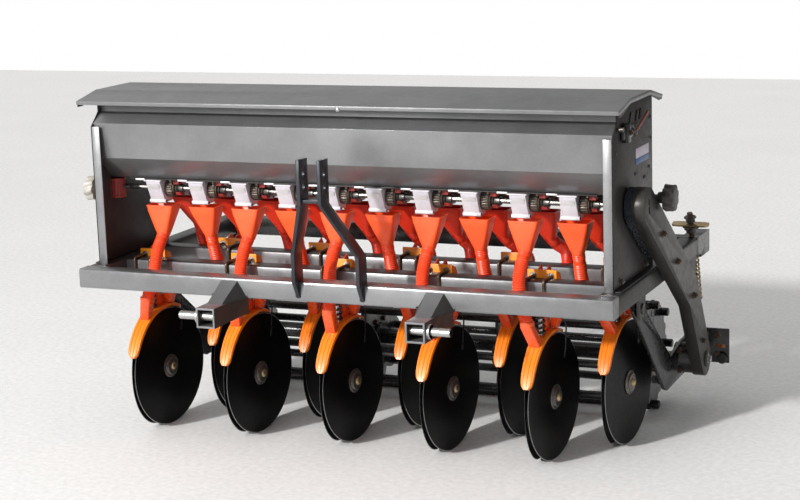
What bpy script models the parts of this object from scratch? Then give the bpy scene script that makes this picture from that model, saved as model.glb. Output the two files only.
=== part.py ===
"""Ten-row double-disc seed drill for a small tractor, metres, +Z up, hitch side facing -Y.

Stations along Y are counted from the front row of disc hubs. A root empty then moves
everything so that the origin is the bottom centre of the whole machine.
"""
import math

import bmesh
import bpy
from mathutils import Matrix, Vector

GAP = 0.0003            # left between faces that touch
RUNNING_GAP = 0.0008    # round a shaft or pin that turns in a bore
CLEAR = 0.0055          # between pieces that pass each other

# ---- driving dimensions -------------------------------------------------
ROWS = 10
ROW_PITCH = 0.150
ROW_STAGGER = 0.200     # rear disc row behind the front row
DISC_RADIUS = 0.175
DISC_TOE_DEG = 5.2      # each disc of a pair turns in by this much
ROLLER_RADIUS = 0.1635
ROLLER_CLEAR = 0.0115   # between the rear discs and the roller
FRAME_OVER_DISC = 0.161
FRAME_MARGIN = 0.038    # frame beyond the outer rows' shares
TUBE = 0.055            # outside of every square frame tube
TOOLBAR_LEAD = 0.0545   # toolbar centre ahead of its disc row
FRONT_BEAM_LEAD = 0.164
REAR_BEAM_SETBACK = 0.075   # behind the roller's axle

HALF_FRAME = ROWS * ROW_PITCH / 2 + FRAME_MARGIN
FRAME_TOP = 2 * DISC_RADIUS + FRAME_OVER_DISC
FRAME_UNDER = FRAME_TOP - TUBE
ROLLER_Y = ROW_STAGGER + DISC_RADIUS + ROLLER_CLEAR + ROLLER_RADIUS
FRONT_BEAM_Y = -TOOLBAR_LEAD - FRONT_BEAM_LEAD
REAR_BEAM_Y = ROLLER_Y + REAR_BEAM_SETBACK

# ---- lower hitch ----------------------------------------------------------
STUB_X = 0.305
STUB_LENGTH = 0.1715    # ahead of the front beam's middle
STUB_WALL = 0.005
STUB_LAP = 0.001        # of the stub into the beam above it
STUB_Z = (FRAME_UNDER - TUBE + STUB_LAP, FRAME_UNDER + STUB_LAP)
HITCH_FRONT = FRONT_BEAM_Y - STUB_LENGTH
GUSSET_REACH = 0.092
GUSSET_TOP = 0.025
GUSSET_FOOT = 0.022
GUSSET_FLARE = 0.055
HITCH_PIN_SETBACK = 0.025
HITCH_PIN_LENGTH = 0.0625
HITCH_PIN_RADIUS = 0.011
COLLAR_RADIUS = 0.019
COLLAR_LENGTH = 0.009

# ---- mast -------------------------------------------------------------------
MAST_TOP = FRAME_TOP + 0.349
MAST_NECK = FRAME_TOP + 0.231
MAST_KNEE = FRAME_TOP + 0.079
MAST_TOP_X = 0.030
MAST_FOOT_X = 0.095
MAST_DEPTH = 0.050
MAST_THICK = 0.010
MAST_LEAN = 0.078
MAST_FRONT = FRONT_BEAM_Y - TUBE / 2 - MAST_LEAN - 0.026
MAST_TIP = 0.045        # of the pointed foot below the beam's top
MAST_HOLES = (0.038, 0.073)
MAST_HOLE_RADIUS = 0.0097
MAST_TIE = 0.008

# ---- hopper and end plates --------------------------------------------------
SHEET = 0.003
PLATE_THICK = 0.004
HOPPER_HALF = HALF_FRAME - 0.024
PLATE_FRONT = -0.168
PLATE_REAR = 0.197
PLATE_SHOULDER = FRAME_TOP + 0.397
FLANGE = 0.027
PLATE_FOOT = 0.020
HOPPER_FLOOR = FRAME_TOP + 0.2402
NECK_TOP = FRAME_TOP + 0.455
NECK_FRONT = -0.117
NECK_FOLD_Z = NECK_TOP - 0.020
FOLD_Y, FOLD_Z = -0.159, NECK_TOP - 0.049
KNEE_Y, KNEE_Z = -0.149, NECK_TOP - 0.149
SEED_TROUGH = (-0.080, -0.012)
FERT_TROUGH = (0.052, 0.125)
RIDGE_Y, RIDGE_Z = 0.026, NECK_TOP - 0.131
REAR_WALL = 0.1945

# ---- lid ----------------------------------------------------------------------
LID_HALF = HOPPER_HALF + 0.029
LID_SHEET = 0.0025
LID_RIM = 0.012
LID_LIP_Z = NECK_TOP + 0.007
LID_FRONT, LID_FRONT_Z = -0.195, NECK_TOP + 0.017
LID_BEND_FRONT, LID_BEND_REAR, LID_TOP = -0.088, 0.098, NECK_TOP + 0.038
LID_REAR, LID_REAR_Z = 0.214, NECK_TOP + 0.013
HINGE_Y, HINGE_Z = 0.2165, NECK_TOP - 0.0095
HINGE_RADIUS = 0.005
HINGE_SHARES = (-0.72, 0.0, 0.72)
KNUCKLE = 0.040
KNUCKLE_GAP = 0.001

# ---- metering -------------------------------------------------------------------
METER_MARGIN = 0.143    # outermost meters from the hopper's ends
METER_PITCH = 2 * (HOPPER_HALF - METER_MARGIN) / (ROWS - 1)
METER_WIDTH = 0.046
METER_BASE = 0.004
METER_DROP = 0.0622
SHAFT_Y, SHAFT_Z = -0.045, HOPPER_FLOOR - 0.0322
SHAFT_RADIUS = 0.008
CUP_RADIUS = 0.026
CUP_LENGTH = 0.036
METER_BOTTOM = HOPPER_FLOOR - METER_DROP
FERT_METER_Y = (FERT_TROUGH[0] + FERT_TROUGH[1]) / 2
FERT_METER_DEPTH = 0.060

# ---- funnels and hoses -------------------------------------------------------------
FUNNEL_TOP = METER_BOTTOM - 0.017
FUNNEL_DROP = 0.087
FUNNEL_NECK = FUNNEL_TOP - FUNNEL_DROP
FUNNEL_WIDTH = 0.086
FUNNEL_DEPTH = 0.062
FUNNEL_LEAN = 0.020     # of a seed funnel's neck towards its own row
FERT_LEAN = 0.055       # of a fertiliser funnel's neck towards the rear
FUNNEL_SHIFT = 0.008
SEED_FUNNEL_Y = SHAFT_Y - 0.006
HOSE_RADIUS = 0.018
HOSE_CLEAR = 0.006
HOSE_STEPS = 2
SPOUT_RADIUS = 0.021
SPOUT_HEIGHT = 0.058    # of a spout's mouth above the disc tops
SOCKET_SIDE = 0.026
STRIP = 0.003

# ---- openers ---------------------------------------------------------------------
DISC_THICK = 0.004
DISC_OFFSET = 0.0205    # disc centre from the opener's middle plane
DISC_BEVEL = 0.007
HUB_RADIUS = 0.044
HUB_TAPER = 0.010
HUB_HEIGHT = 0.014
DISC_STEPS = 20
SPINDLE_RADIUS = 0.012
FENDER_GAP = 0.008
FENDER_THICK = 0.004
FENDER_WIDTH = 0.047
FENDER_FROM_DEG = 62.0
FENDER_STEP_DEG = 12.25
FENDER_STEPS = 8
FENDER_INSIDE = DISC_RADIUS + FENDER_GAP
FENDER_OUTSIDE = FENDER_INSIDE + FENDER_THICK
HEAD_WIDTH = 0.082
HEAD_THICK = 0.008
HEAD_RISE = 0.021       # above the toolbar's top
HEAD_DROP = 0.024       # below the toolbar's underside
UBOLT = 0.009
UBOLT_SPREAD = 0.050
LEG_THICK = 0.012
SPRING_RADIUS = 0.015
SPRING_LEAD = 0.046
SPRING_SEAT = 0.007

# ---- roller and its arms -------------------------------------------------------------
ROLLER_HALF = HALF_FRAME - 0.102
ROLLER_BARS = 8
BAR_RADIUS = 0.0125
AXLE_RADIUS = 0.024
STUB_SHAFT_RADIUS = 0.015
STUB_SHAFT_END = HALF_FRAME - 0.010
SPIDERS = 4
SPIDER_INSET = 0.026
SPIDER_THICK = 0.008
ARM_THICK = 0.010
ARM_X = HALF_FRAME - 0.0375
ARM_PIVOT_Y, ARM_PIVOT_Z = 0.085, FRAME_UNDER - 0.041
ARM_PIN = 0.014
ARM_HALF_WIDTH = 0.032
ARM_ELBOW_Y, ARM_ELBOW_Z = ROLLER_Y - 0.155, ROLLER_RADIUS - 0.0135
ARM_REAR = ROLLER_Y + 0.240
ARM_BEARING = 0.045
LUG_THICK = 0.008
LUG_X = ARM_X + ARM_THICK / 2 + 0.0065

# ---- chain case and depth screws --------------------------------------------------------
CASE_INNER = HALF_FRAME + CLEAR
CASE_OUTER = HALF_FRAME + 0.040
CASE_RADIUS = 0.050
CASE_DRUM = HOPPER_HALF + GAP + PLATE_THICK + CLEAR
CASE_DRUM_LENGTH = 0.215
CASE_ELBOW_Y, CASE_ELBOW_Z = ROLLER_Y - 0.145, ROLLER_RADIUS + 0.2315
CASE_SLOT = (0.010, 0.040)
CASE_SLOT_DEPTH = 0.006
SCREW_INSET = 0.022
SCREW_X = HALF_FRAME - SCREW_INSET
SCREW_TOP_Y, SCREW_TOP_Z = ROLLER_Y + 0.050, FRAME_TOP + 0.074
SCREW_FOOT_Y, SCREW_FOOT_Z = ROLLER_Y + 0.150, ROLLER_RADIUS + 0.0615
SCREW_RADIUS = 0.009
HANDLE_LENGTH = 0.110
HANDLE_WIDTH = 0.028
HANDLE_THICK = 0.006
BRACKET_REAR = ROLLER_Y + 0.202
BRACKET_DEEP = 0.065
HANGER_THICK = 0.008
HANGER_DROP = 0.221
HANGER_TOP = 0.094
HANGER_FOOT = 0.058
FOOT_WIDTH = 0.090
FOOT_THICK = 0.008

# ---- rate knobs ----------------------------------------------------------------------
KNOB_RADIUS = 0.037
KNOB_LENGTH = 0.030
KNOB_STEM_RADIUS = 0.011
HALF_SPAN = HALF_FRAME + 0.078          # outer faces of the two knobs
KNOB_PLACES = {-1: (SHAFT_Y, SHAFT_Z - 0.010), 1: (0.073, SHAFT_Z + 0.003)}

ORIGIN_Y = (HITCH_FRONT + ARM_REAR) / 2

# ---- colours: base colour, metallic, roughness -------------------------------------
PAINTS = {
    "graphite_paint": ((0.235, 0.24, 0.245), 0.55, 0.38),
    "black_paint": ((0.02, 0.02, 0.022), 0.2, 0.45),
    "orange_paint": ((0.86, 0.24, 0.03), 0.0, 0.4),
    "orange_plastic": ((0.90, 0.10, 0.03), 0.0, 0.45),
    "disc_steel": ((0.03, 0.03, 0.034), 0.6, 0.4),
    "cast_alloy": ((0.62, 0.61, 0.63), 0.6, 0.5),
    "zinc": ((0.62, 0.62, 0.62), 0.9, 0.3),
    "yellow_zinc": ((0.55, 0.42, 0.20), 0.9, 0.35),
}

for old in list(bpy.data.objects):
    bpy.data.objects.remove(old, do_unlink=True)

PARTS = bpy.data.collections.new("seed_drill")
CUTTERS = bpy.data.collections.new("cutters")
for group in (PARTS, CUTTERS):
    bpy.context.scene.collection.children.link(group)

ROOT = bpy.data.objects.new("drill_origin", None)
PARTS.objects.link(ROOT)
ROOT.location = (0, -ORIGIN_Y, 0)


def paint(name):
    """The named paint as a Principled BSDF material, made once."""
    if name in bpy.data.materials:
        return bpy.data.materials[name]
    colour, metallic, roughness = PAINTS[name]
    material = bpy.data.materials.new(name)
    material.use_nodes = True
    shader = material.node_tree.nodes["Principled BSDF"]
    shader.inputs["Base Color"].default_value = (*colour, 1)
    shader.inputs["Metallic"].default_value = metallic
    shader.inputs["Roughness"].default_value = roughness
    return material


# ---- shapes: each returns a mesh object outside any collection but the cutters' ------
def shape(name, mesh_data):
    """An object for a loose shape, kept with the cutters until it is finished."""
    made = bpy.data.objects.new(name, mesh_data)
    CUTTERS.objects.link(made)
    made.hide_render = True
    made.display_type = "WIRE"
    return made


def from_bmesh(name, bm):
    """Turn a bmesh into a loose shape with outward faces."""
    bmesh.ops.recalc_face_normals(bm, faces=bm.faces)
    data = bpy.data.meshes.new(name)
    bm.to_mesh(data)
    bm.free()
    return shape(name, data)


def box(x, y, z):
    """A block between the three pairs of limits."""
    bm = bmesh.new()
    bmesh.ops.create_cube(bm, size=1.0)
    sides = (x[1] - x[0], y[1] - y[0], z[1] - z[0])
    middle = ((x[0] + x[1]) / 2, (y[0] + y[1]) / 2, (z[0] + z[1]) / 2)
    bmesh.ops.transform(bm, matrix=Matrix.Translation(middle) @ Matrix.Diagonal((*sides, 1)),
                        verts=bm.verts)
    return from_bmesh("block", bm)


def rod(start, end, radius, sides=16, end_radius=None):
    """A round bar, or a taper, from one point to another."""
    start, end = Vector(start), Vector(end)
    run = end - start
    bm = bmesh.new()
    far_radius = radius if end_radius is None else end_radius
    bmesh.ops.create_cone(bm, cap_ends=True, segments=sides, radius1=radius, radius2=far_radius,
                          depth=run.length)
    turn = run.to_track_quat("Z", "Y").to_matrix().to_4x4()
    bmesh.ops.transform(bm, matrix=Matrix.Translation((start + end) / 2) @ turn, verts=bm.verts)
    return from_bmesh("rod", bm)


def hull(points):
    """The convex solid around a few points."""
    bm = bmesh.new()
    for point in points:
        bm.verts.new(point)
    bmesh.ops.convex_hull(bm, input=bm.verts)
    bmesh.ops.dissolve_limit(bm, angle_limit=math.radians(0.5), verts=bm.verts, edges=bm.edges)
    return from_bmesh("hull", bm)


SIDEWAYS = Matrix(((0, 0, 1, 0), (1, 0, 0, 0), (0, 1, 0, 0), (0, 0, 0, 1)))


def profile(outline, low, high):
    """A flat outline of (y, z) points, pulled sideways between two X limits."""
    curve = bpy.data.curves.new("outline", "CURVE")
    curve.dimensions = "2D"
    curve.fill_mode = "BOTH"
    curve.extrude = (high - low) / 2
    line = curve.splines.new("POLY")
    line.points.add(len(outline) - 1)
    for point, (y, z) in zip(line.points, outline):
        point.co = (y, z, 0, 1)
    line.use_cyclic_u = True
    guide = shape("outline", curve)
    guide.matrix_world = Matrix.Translation(((low + high) / 2, 0, 0)) @ SIDEWAYS
    bpy.context.view_layer.update()
    data = bpy.data.meshes.new_from_object(guide.evaluated_get(bpy.context.evaluated_depsgraph_get()))
    bm = bmesh.new()
    bm.from_mesh(data)
    bmesh.ops.transform(bm, matrix=guide.matrix_world, verts=bm.verts)
    bmesh.ops.remove_doubles(bm, verts=bm.verts, dist=0.00001)
    bpy.data.objects.remove(guide, do_unlink=True)
    return from_bmesh("profile", bm)


def tube(points, radius, resolution=1):
    """A round hose or wire along a POLY curve through the points."""
    curve = bpy.data.curves.new("route", "CURVE")
    curve.dimensions = "3D"
    curve.bevel_depth = radius
    curve.bevel_resolution = resolution
    curve.use_fill_caps = True
    line = curve.splines.new("POLY")
    line.points.add(len(points) - 1)
    for point, place in zip(line.points, points):
        point.co = (*place, 1)
    guide = shape("route", curve)
    bpy.context.view_layer.update()
    data = bpy.data.meshes.new_from_object(guide.evaluated_get(bpy.context.evaluated_depsgraph_get()))
    bm = bmesh.new()
    bm.from_mesh(data)
    bmesh.ops.remove_doubles(bm, verts=bm.verts, dist=0.00001)
    bpy.data.objects.remove(guide, do_unlink=True)
    return from_bmesh("tube", bm)


def combine(first, others, how):
    """Boolean each of the others into, or out of, the first, and remove them."""
    for other in others:
        step = first.modifiers.new("step", "BOOLEAN")
        step.operation = how
        step.solver = "EXACT"
        step.object = other
        bpy.context.view_layer.update()
        data = bpy.data.meshes.new_from_object(first.evaluated_get(bpy.context.evaluated_depsgraph_get()))
        first.modifiers.clear()
        first.data = data
        bpy.data.objects.remove(other, do_unlink=True)
    return first


def join(first, *others):
    return combine(first, others, "UNION")


def cut(first, *others):
    return combine(first, others, "DIFFERENCE")


def smooth_path(points, count):
    """Points along one smooth curve through the given ones."""
    ends = [2 * Vector(points[0]) - Vector(points[1])] + [Vector(p) for p in points]
    ends.append(2 * Vector(points[-1]) - Vector(points[-2]))
    path = []
    spans = len(points) - 1
    for index in range(count + 1):
        place = min(index * spans / count, spans - 1e-9)
        span = int(place)
        t = place - span
        a, b, c, d = ends[span:span + 4]
        path.append(0.5 * (2 * b + (c - a) * t + (2 * a - 5 * b + 4 * c - d) * t * t
                           + (3 * b - a - 3 * c + d) * t ** 3))
    return path


def arc(centre, radius, start_deg, end_deg, steps):
    """Points of a circular arc in (y, z)."""
    turns = [math.radians(start_deg + (end_deg - start_deg) * i / steps) for i in range(steps + 1)]
    return [(centre[0] + radius * math.cos(a), centre[1] + radius * math.sin(a)) for a in turns]


def finish(made, name, colour, pivot=None, turn=None):
    """Move a loose shape to the parts, with its name, paint and origin."""
    CUTTERS.objects.unlink(made)
    PARTS.objects.link(made)
    made.hide_render = False
    made.display_type = "TEXTURED"
    made.name = name
    made.data.name = name
    made.data.materials.clear()
    made.data.materials.append(paint(colour))
    if turn is not None:
        made.data.transform(turn.to_4x4().inverted())
        made.rotation_euler = turn.to_euler()
    if pivot is not None:
        made.data.transform(Matrix.Translation(-(turn.inverted() @ Vector(pivot) if turn else Vector(pivot))))
        made.location = pivot
    made.parent = ROOT
    for face in made.data.polygons:
        face.use_smooth = True
    made.data.set_sharp_from_angle(angle=math.radians(35))
    return made


def row_x(row):
    return (row - (ROWS - 1) / 2) * ROW_PITCH


def row_y(row):
    return ROW_STAGGER * (row % 2)


def meter_x(row):
    return (row - (ROWS - 1) / 2) * METER_PITCH


def both(side, near, far):
    """Two X limits on one side of the machine, lowest first."""
    return sorted((side * near, side * far))


# ---- frame ---------------------------------------------------------------------
TUBE_Z = (FRAME_UNDER, FRAME_TOP)


def square_tube(x, y, z):
    """A frame tube, with its long edges rounded."""
    made = box(x, y, z)
    spans = [limits[1] - limits[0] for limits in (x, y, z)]
    run = spans.index(max(spans))
    bm = bmesh.new()
    bm.from_mesh(made.data)
    long_edges = [e for e in bm.edges if abs((e.verts[0].co - e.verts[1].co)[run]) > spans[run] / 2]
    bmesh.ops.bevel(bm, geom=long_edges, offset=TUBE / 9, segments=2, profile=0.5, affect="EDGES")
    bm.to_mesh(made.data)
    bm.free()
    return made


def hitch_stub(side):
    """One lower hitch point: open square tube, pin with collar, and flared gusset."""
    middle = side * STUB_X
    half = TUBE / 2
    beam_face = FRONT_BEAM_Y - half
    outer = box((middle - half, middle + half), (HITCH_FRONT, FRONT_BEAM_Y + half), STUB_Z)
    hollow = box((middle - half + STUB_WALL, middle + half - STUB_WALL),
                 (HITCH_FRONT - 0.01, FRONT_BEAM_Y + half + 0.01),
                 (STUB_Z[0] + STUB_WALL, STUB_Z[1] - STUB_WALL))
    stub = cut(outer, hollow)
    pin_y = HITCH_FRONT + HITCH_PIN_SETBACK
    pin_z = (STUB_Z[0] + STUB_Z[1]) / 2
    face = middle + side * half
    pin = rod((middle - side * half, pin_y, pin_z), (face + side * HITCH_PIN_LENGTH, pin_y, pin_z),
              HITCH_PIN_RADIUS, 12)
    collar = rod((face - side * 0.001, pin_y, pin_z), (face + side * COLLAR_LENGTH, pin_y, pin_z),
                 COLLAR_RADIUS, 12)
    back = beam_face + 0.002
    foot_y, foot_z = beam_face - GUSSET_REACH, STUB_Z[1] - 0.001
    gusset = hull([(middle + s * half_width, y, z) for s in (-1, 1) for half_width, y, z in (
        (GUSSET_TOP, back, FRAME_TOP - 0.006), (GUSSET_FOOT, foot_y, foot_z), (GUSSET_FLARE, back,
                                                                               foot_z))])
    return join(stub, pin, collar, gusset)


def front_beam():
    beam = square_tube((-HALF_FRAME, HALF_FRAME), (FRONT_BEAM_Y - TUBE / 2, FRONT_BEAM_Y + TUBE / 2),
                       TUBE_Z)
    join(beam, hitch_stub(-1), hitch_stub(1))
    finish(beam, "front_beam", "graphite_paint")


def side_beams():
    """Side tubes, each with its roller arm's lug and the plate that hangs from its rear end."""
    rows = (FRONT_BEAM_Y + TUBE / 2 + GAP, REAR_BEAM_Y - TUBE / 2 - GAP)
    foot = FRAME_TOP - HANGER_DROP
    hanger = [(rows[1] - HANGER_TOP, FRAME_UNDER + 0.002), (rows[1] - 0.001, FRAME_UNDER + 0.002),
              (rows[1] - 0.001, foot),
              (rows[1] - HANGER_FOOT, foot), (rows[1] - HANGER_TOP, foot + HANGER_FOOT)]
    for name, side in (("side_beam_left", -1), ("side_beam_right", 1)):
        beam = square_tube(both(side, HALF_FRAME, HALF_FRAME - TUBE), rows, TUBE_Z)
        lug = profile([(ARM_PIVOT_Y - 0.034, FRAME_UNDER + 0.002), (ARM_PIVOT_Y + 0.034,
                                                                    FRAME_UNDER + 0.002),
                       (ARM_PIVOT_Y + 0.026, ARM_PIVOT_Z - 0.028), (ARM_PIVOT_Y - 0.026,
                                                                    ARM_PIVOT_Z - 0.028)],
                      *both(side, LUG_X, LUG_X + LUG_THICK))
        plate = profile(hanger, *both(side, HALF_FRAME - 0.003, HALF_FRAME - 0.003 - HANGER_THICK))
        bore = rod((side * (LUG_X - 0.01), ARM_PIVOT_Y, ARM_PIVOT_Z), (side * (LUG_X + 0.02), ARM_PIVOT_Y,
                                                                       ARM_PIVOT_Z),
                   ARM_PIN + RUNNING_GAP)
        finish(cut(join(beam, lug, plate), bore), name, "graphite_paint")


def toolbars():
    reach = HALF_FRAME - TUBE - GAP
    for name, row in (("toolbar_front", 0), ("toolbar_rear", 1)):
        middle = row_y(row) - TOOLBAR_LEAD
        bar = square_tube((-reach, reach), (middle - TUBE / 2, middle + TUBE / 2), TUBE_Z)
        finish(bar, name, "graphite_paint")


def screw_point(along):
    """The (y, z) point on the screw's line, measured down from its top."""
    run = Vector((SCREW_FOOT_Y - SCREW_TOP_Y, SCREW_FOOT_Z - SCREW_TOP_Z)).normalized()
    return (SCREW_TOP_Y + along * run.x, SCREW_TOP_Z + along * run.y)


def rear_beam():
    """The rear tube, bored for the depth screws, with an arm behind it at each end."""
    beam = square_tube((-HALF_FRAME, HALF_FRAME), (REAR_BEAM_Y - TUBE / 2, REAR_BEAM_Y + TUBE / 2), TUBE_Z)
    back = REAR_BEAM_Y + TUBE / 2 - 0.002
    top = FRAME_TOP - 0.0015
    for side in (-1, 1):
        arm = box(both(side, HALF_FRAME - 0.0015, HALF_FRAME - TUBE + 0.0015), (back, BRACKET_REAR),
                  (top - BRACKET_DEEP, top))
        join(beam, arm)
        cut(beam, rod((side * SCREW_X, *screw_point(0.20)), (side * SCREW_X, *screw_point(-0.02)),
                      SCREW_RADIUS + RUNNING_GAP))
    finish(beam, "rear_beam", "graphite_paint")


def depth_screws():
    """Threaded rod, nut, hand plate and collar, one screw each side."""
    length = math.hypot(SCREW_FOOT_Y - SCREW_TOP_Y, SCREW_FOOT_Z - SCREW_TOP_Z)
    lean = math.atan2(SCREW_FOOT_Y - SCREW_TOP_Y, SCREW_TOP_Z - SCREW_FOOT_Z)
    for name, side in (("depth_screw_left", -1), ("depth_screw_right", 1)):
        def along(distance):
            return (side * SCREW_X, *screw_point(distance))
        screw = rod(along(0), along(length), SCREW_RADIUS)
        nut = rod(along(0.018), along(0.034), SCREW_RADIUS * 1.9, sides=6)
        collar = rod(along(0.039), along(0.060), SCREW_RADIUS * 1.6)
        bar = box((-HANDLE_LENGTH / 2, HANDLE_LENGTH / 2), (-HANDLE_WIDTH / 2, HANDLE_WIDTH / 2),
                  (-HANDLE_THICK / 2, HANDLE_THICK / 2))
        bar.data.transform(Matrix.Translation(along(0.037)) @ Matrix.Rotation(lean, 4, "X"))
        finish(join(screw, nut, collar, bar), name, "yellow_zinc")


# ---- three-point hitch mast -------------------------------------------------------
def mast_offset(z):
    """How far a mast bar has leaned back at a height, from its top."""
    share = (MAST_NECK - z) / (MAST_NECK - MAST_KNEE)
    return MAST_LEAN * min(max(share, 0), 1)


def mast_bar(side):
    """One flat bar: upright at the top, splayed and leaning back, upright at its pointed foot."""
    stations = [(MAST_TOP, MAST_TOP_X), (MAST_NECK, MAST_TOP_X), (MAST_KNEE, MAST_FOOT_X),
                (FRAME_TOP + GAP, MAST_FOOT_X)]
    pieces = []
    for (z_high, x_high), (z_low, x_low) in zip(stations, stations[1:]):
        corners = []
        for z, x in ((z_high + 0.0005, x_high), (z_low, x_low)):
            front = MAST_FRONT + mast_offset(z)
            corners += [(side * (x + dx), front + dy, z)
                        for dx in (-MAST_THICK / 2, MAST_THICK / 2) for dy in (0, MAST_DEPTH)]
        pieces.append(hull(corners))
    beam_face = FRONT_BEAM_Y - TUBE / 2 - GAP
    foot_front = MAST_FRONT + MAST_LEAN
    foot = [(foot_front, FRAME_TOP + 0.002), (beam_face, FRAME_TOP + 0.002),
            (beam_face, FRAME_TOP - MAST_TIP)]
    pieces.append(profile(foot, *both(side, MAST_FOOT_X - MAST_THICK / 2, MAST_FOOT_X + MAST_THICK / 2)))
    bar = join(*pieces)
    middle = MAST_FRONT + MAST_DEPTH / 2
    for drop in MAST_HOLES:
        z = MAST_TOP - drop
        cut(bar, rod((side * 0.005, middle, z), (side * 0.060, middle, z), MAST_HOLE_RADIUS))
    return bar


def hitch_mast():
    """Two bars with a tie plate between them below the top link's holes."""
    tie_z = MAST_NECK + 0.004
    tie = box((-MAST_TOP_X, MAST_TOP_X), (MAST_FRONT + 0.008, MAST_FRONT + MAST_DEPTH - 0.006),
              (tie_z, tie_z + MAST_TIE))
    finish(join(mast_bar(-1), mast_bar(1), tie), "hitch_mast", "graphite_paint")


# ---- hopper, lid and end plates -------------------------------------------------------
def inset(outline, amount):
    """The outline moved inwards; it runs clockwise seen from +X."""
    result = []
    count = len(outline)
    for index, point in enumerate(outline):
        here = Vector(point)
        before = (here - Vector(outline[index - 1])).normalized()
        after = (Vector(outline[(index + 1) % count]) - here).normalized()
        normal = Vector((before.y + after.y, -before.x - after.x))
        reach = amount / (1 + before.dot(after))
        result.append(tuple(here + normal * reach))
    return result


HOPPER_OUTLINE = [
    (NECK_FRONT, NECK_TOP), (REAR_WALL, NECK_TOP), (REAR_WALL, RIDGE_Z), (FERT_TROUGH[1], HOPPER_FLOOR),
    (FERT_TROUGH[0], HOPPER_FLOOR), (RIDGE_Y, RIDGE_Z), (SEED_TROUGH[1], HOPPER_FLOOR), (SEED_TROUGH[0],
                                                                                         HOPPER_FLOOR),
    (KNEE_Y, KNEE_Z), (FOLD_Y, FOLD_Z), (NECK_FRONT, NECK_FOLD_Z)]
HINGE_X = [share * HOPPER_HALF for share in HINGE_SHARES]


def hopper():
    """Folded two-trough hopper, open at the top and closed at its ends by the end plates,
    with its divider and hinge knuckles."""
    body = profile(HOPPER_OUTLINE, -HOPPER_HALF, HOPPER_HALF)
    inner = inset(HOPPER_OUTLINE, SHEET)
    inner[0] = (inner[0][0], NECK_TOP + 0.02)
    inner[1] = (inner[1][0], NECK_TOP + 0.02)
    cut(body, profile(inner, -HOPPER_HALF - 0.01, HOPPER_HALF + 0.01))
    divider = box((-HOPPER_HALF, HOPPER_HALF), (RIDGE_Y - SHEET / 2, RIDGE_Y + SHEET / 2),
                  (RIDGE_Z - 0.002, NECK_TOP - 0.004))
    join(body, divider)
    for x in HINGE_X:
        leaf = box((x - KNUCKLE / 2 + 0.001, x + KNUCKLE / 2 - 0.001),
                   (REAR_WALL - 0.001, HINGE_Y - 0.0015), (HINGE_Z - 0.003, HINGE_Z + 0.0005))
        knuckle = rod((x - KNUCKLE / 2, HINGE_Y, HINGE_Z), (x + KNUCKLE / 2, HINGE_Y, HINGE_Z),
                      HINGE_RADIUS, 12)
        join(body, leaf, knuckle)
    finish(body, "hopper", "graphite_paint")


LID_OUTLINE = [
    (LID_FRONT, LID_LIP_Z), (LID_FRONT, LID_FRONT_Z), (LID_BEND_FRONT, LID_TOP), (LID_BEND_REAR, LID_TOP),
    (LID_REAR, LID_REAR_Z), (LID_REAR, LID_LIP_Z)]


def lid_hollow(amount, half_length):
    """What is cut from under the lid, so that a sheet or rim of that depth is left."""
    inner = inset(LID_OUTLINE, amount)
    inner[0] = (inner[0][0], LID_LIP_Z - 0.02)
    inner[-1] = (inner[-1][0], LID_LIP_Z - 0.02)
    return profile(inner, -half_length, half_length)


def hopper_lid():
    """Folded lid with a rim round both ends; its origin is on the hinge line."""
    lid = profile(LID_OUTLINE, -LID_HALF, LID_HALF)
    cut(lid, lid_hollow(LID_SHEET, LID_HALF - LID_SHEET), lid_hollow(LID_RIM, LID_HALF + 0.01))
    for x in HINGE_X:
        for side in (-1, 1):
            near = x + side * (KNUCKLE / 2 + KNUCKLE_GAP)
            far = near + side * KNUCKLE * 0.6
            tab = box(sorted((near + side * 0.001, far - side * 0.001)), (LID_REAR - LID_SHEET * 0.6,
                                                                          HINGE_Y + 0.0015),
                      (HINGE_Z + 0.001, LID_LIP_Z + 0.003))
            knuckle = rod((near, HINGE_Y, HINGE_Z), (far, HINGE_Y, HINGE_Z), HINGE_RADIUS, 12)
            join(lid, tab, knuckle)
    finish(lid, "hopper_lid", "graphite_paint", pivot=(0, HINGE_Y, HINGE_Z))


def lid_underside(y):
    """Height of the lid's inner face over a station."""
    rise = (LID_TOP - LID_FRONT_Z) / (LID_BEND_FRONT - LID_FRONT)
    fall = (LID_TOP - LID_REAR_Z) / (LID_REAR - LID_BEND_REAR)
    height = LID_TOP - max(0, (LID_BEND_FRONT - y) * rise, (y - LID_BEND_REAR) * fall)
    return height - LID_SHEET * 1.05 - GAP


def end_plates():
    """Folded end plate on each side beam, with its rate knob."""
    foot = FRAME_TOP + GAP
    neck = NECK_FRONT - 0.010
    outline = [(PLATE_FRONT, foot), (PLATE_FRONT, PLATE_SHOULDER), (neck, NECK_FOLD_Z),
               (neck, lid_underside(neck)),
               (LID_BEND_FRONT, lid_underside(LID_BEND_FRONT)), (LID_BEND_REAR,
                                                                 lid_underside(LID_BEND_REAR)),
               (PLATE_REAR, lid_underside(PLATE_REAR)), (PLATE_REAR, foot)]
    inner = HOPPER_HALF + GAP
    for name, side in (("end_plate_left", -1), ("end_plate_right", 1)):
        plate = profile(outline, *both(side, inner, inner + PLATE_THICK))
        flange = box(both(side, inner + 0.001, inner + PLATE_THICK - FLANGE),
                     (PLATE_FRONT, PLATE_FRONT + SHEET),
                     (foot, PLATE_SHOULDER - 0.012))
        ledge = box(both(side, inner + 0.001, inner + PLATE_FOOT), (PLATE_FRONT, PLATE_REAR),
                    (foot, foot + SHEET))
        place = KNOB_PLACES[side]
        face = side * (HALF_SPAN - KNOB_LENGTH)
        stem = rod((side * (inner + 0.001), *place), (face + side * 0.002, *place), KNOB_STEM_RADIUS, 12)
        knob = rod((face, *place), (side * HALF_SPAN, *place), KNOB_RADIUS, 24)
        finish(join(plate, flange, ledge, stem, knob), name, "graphite_paint")


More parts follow.
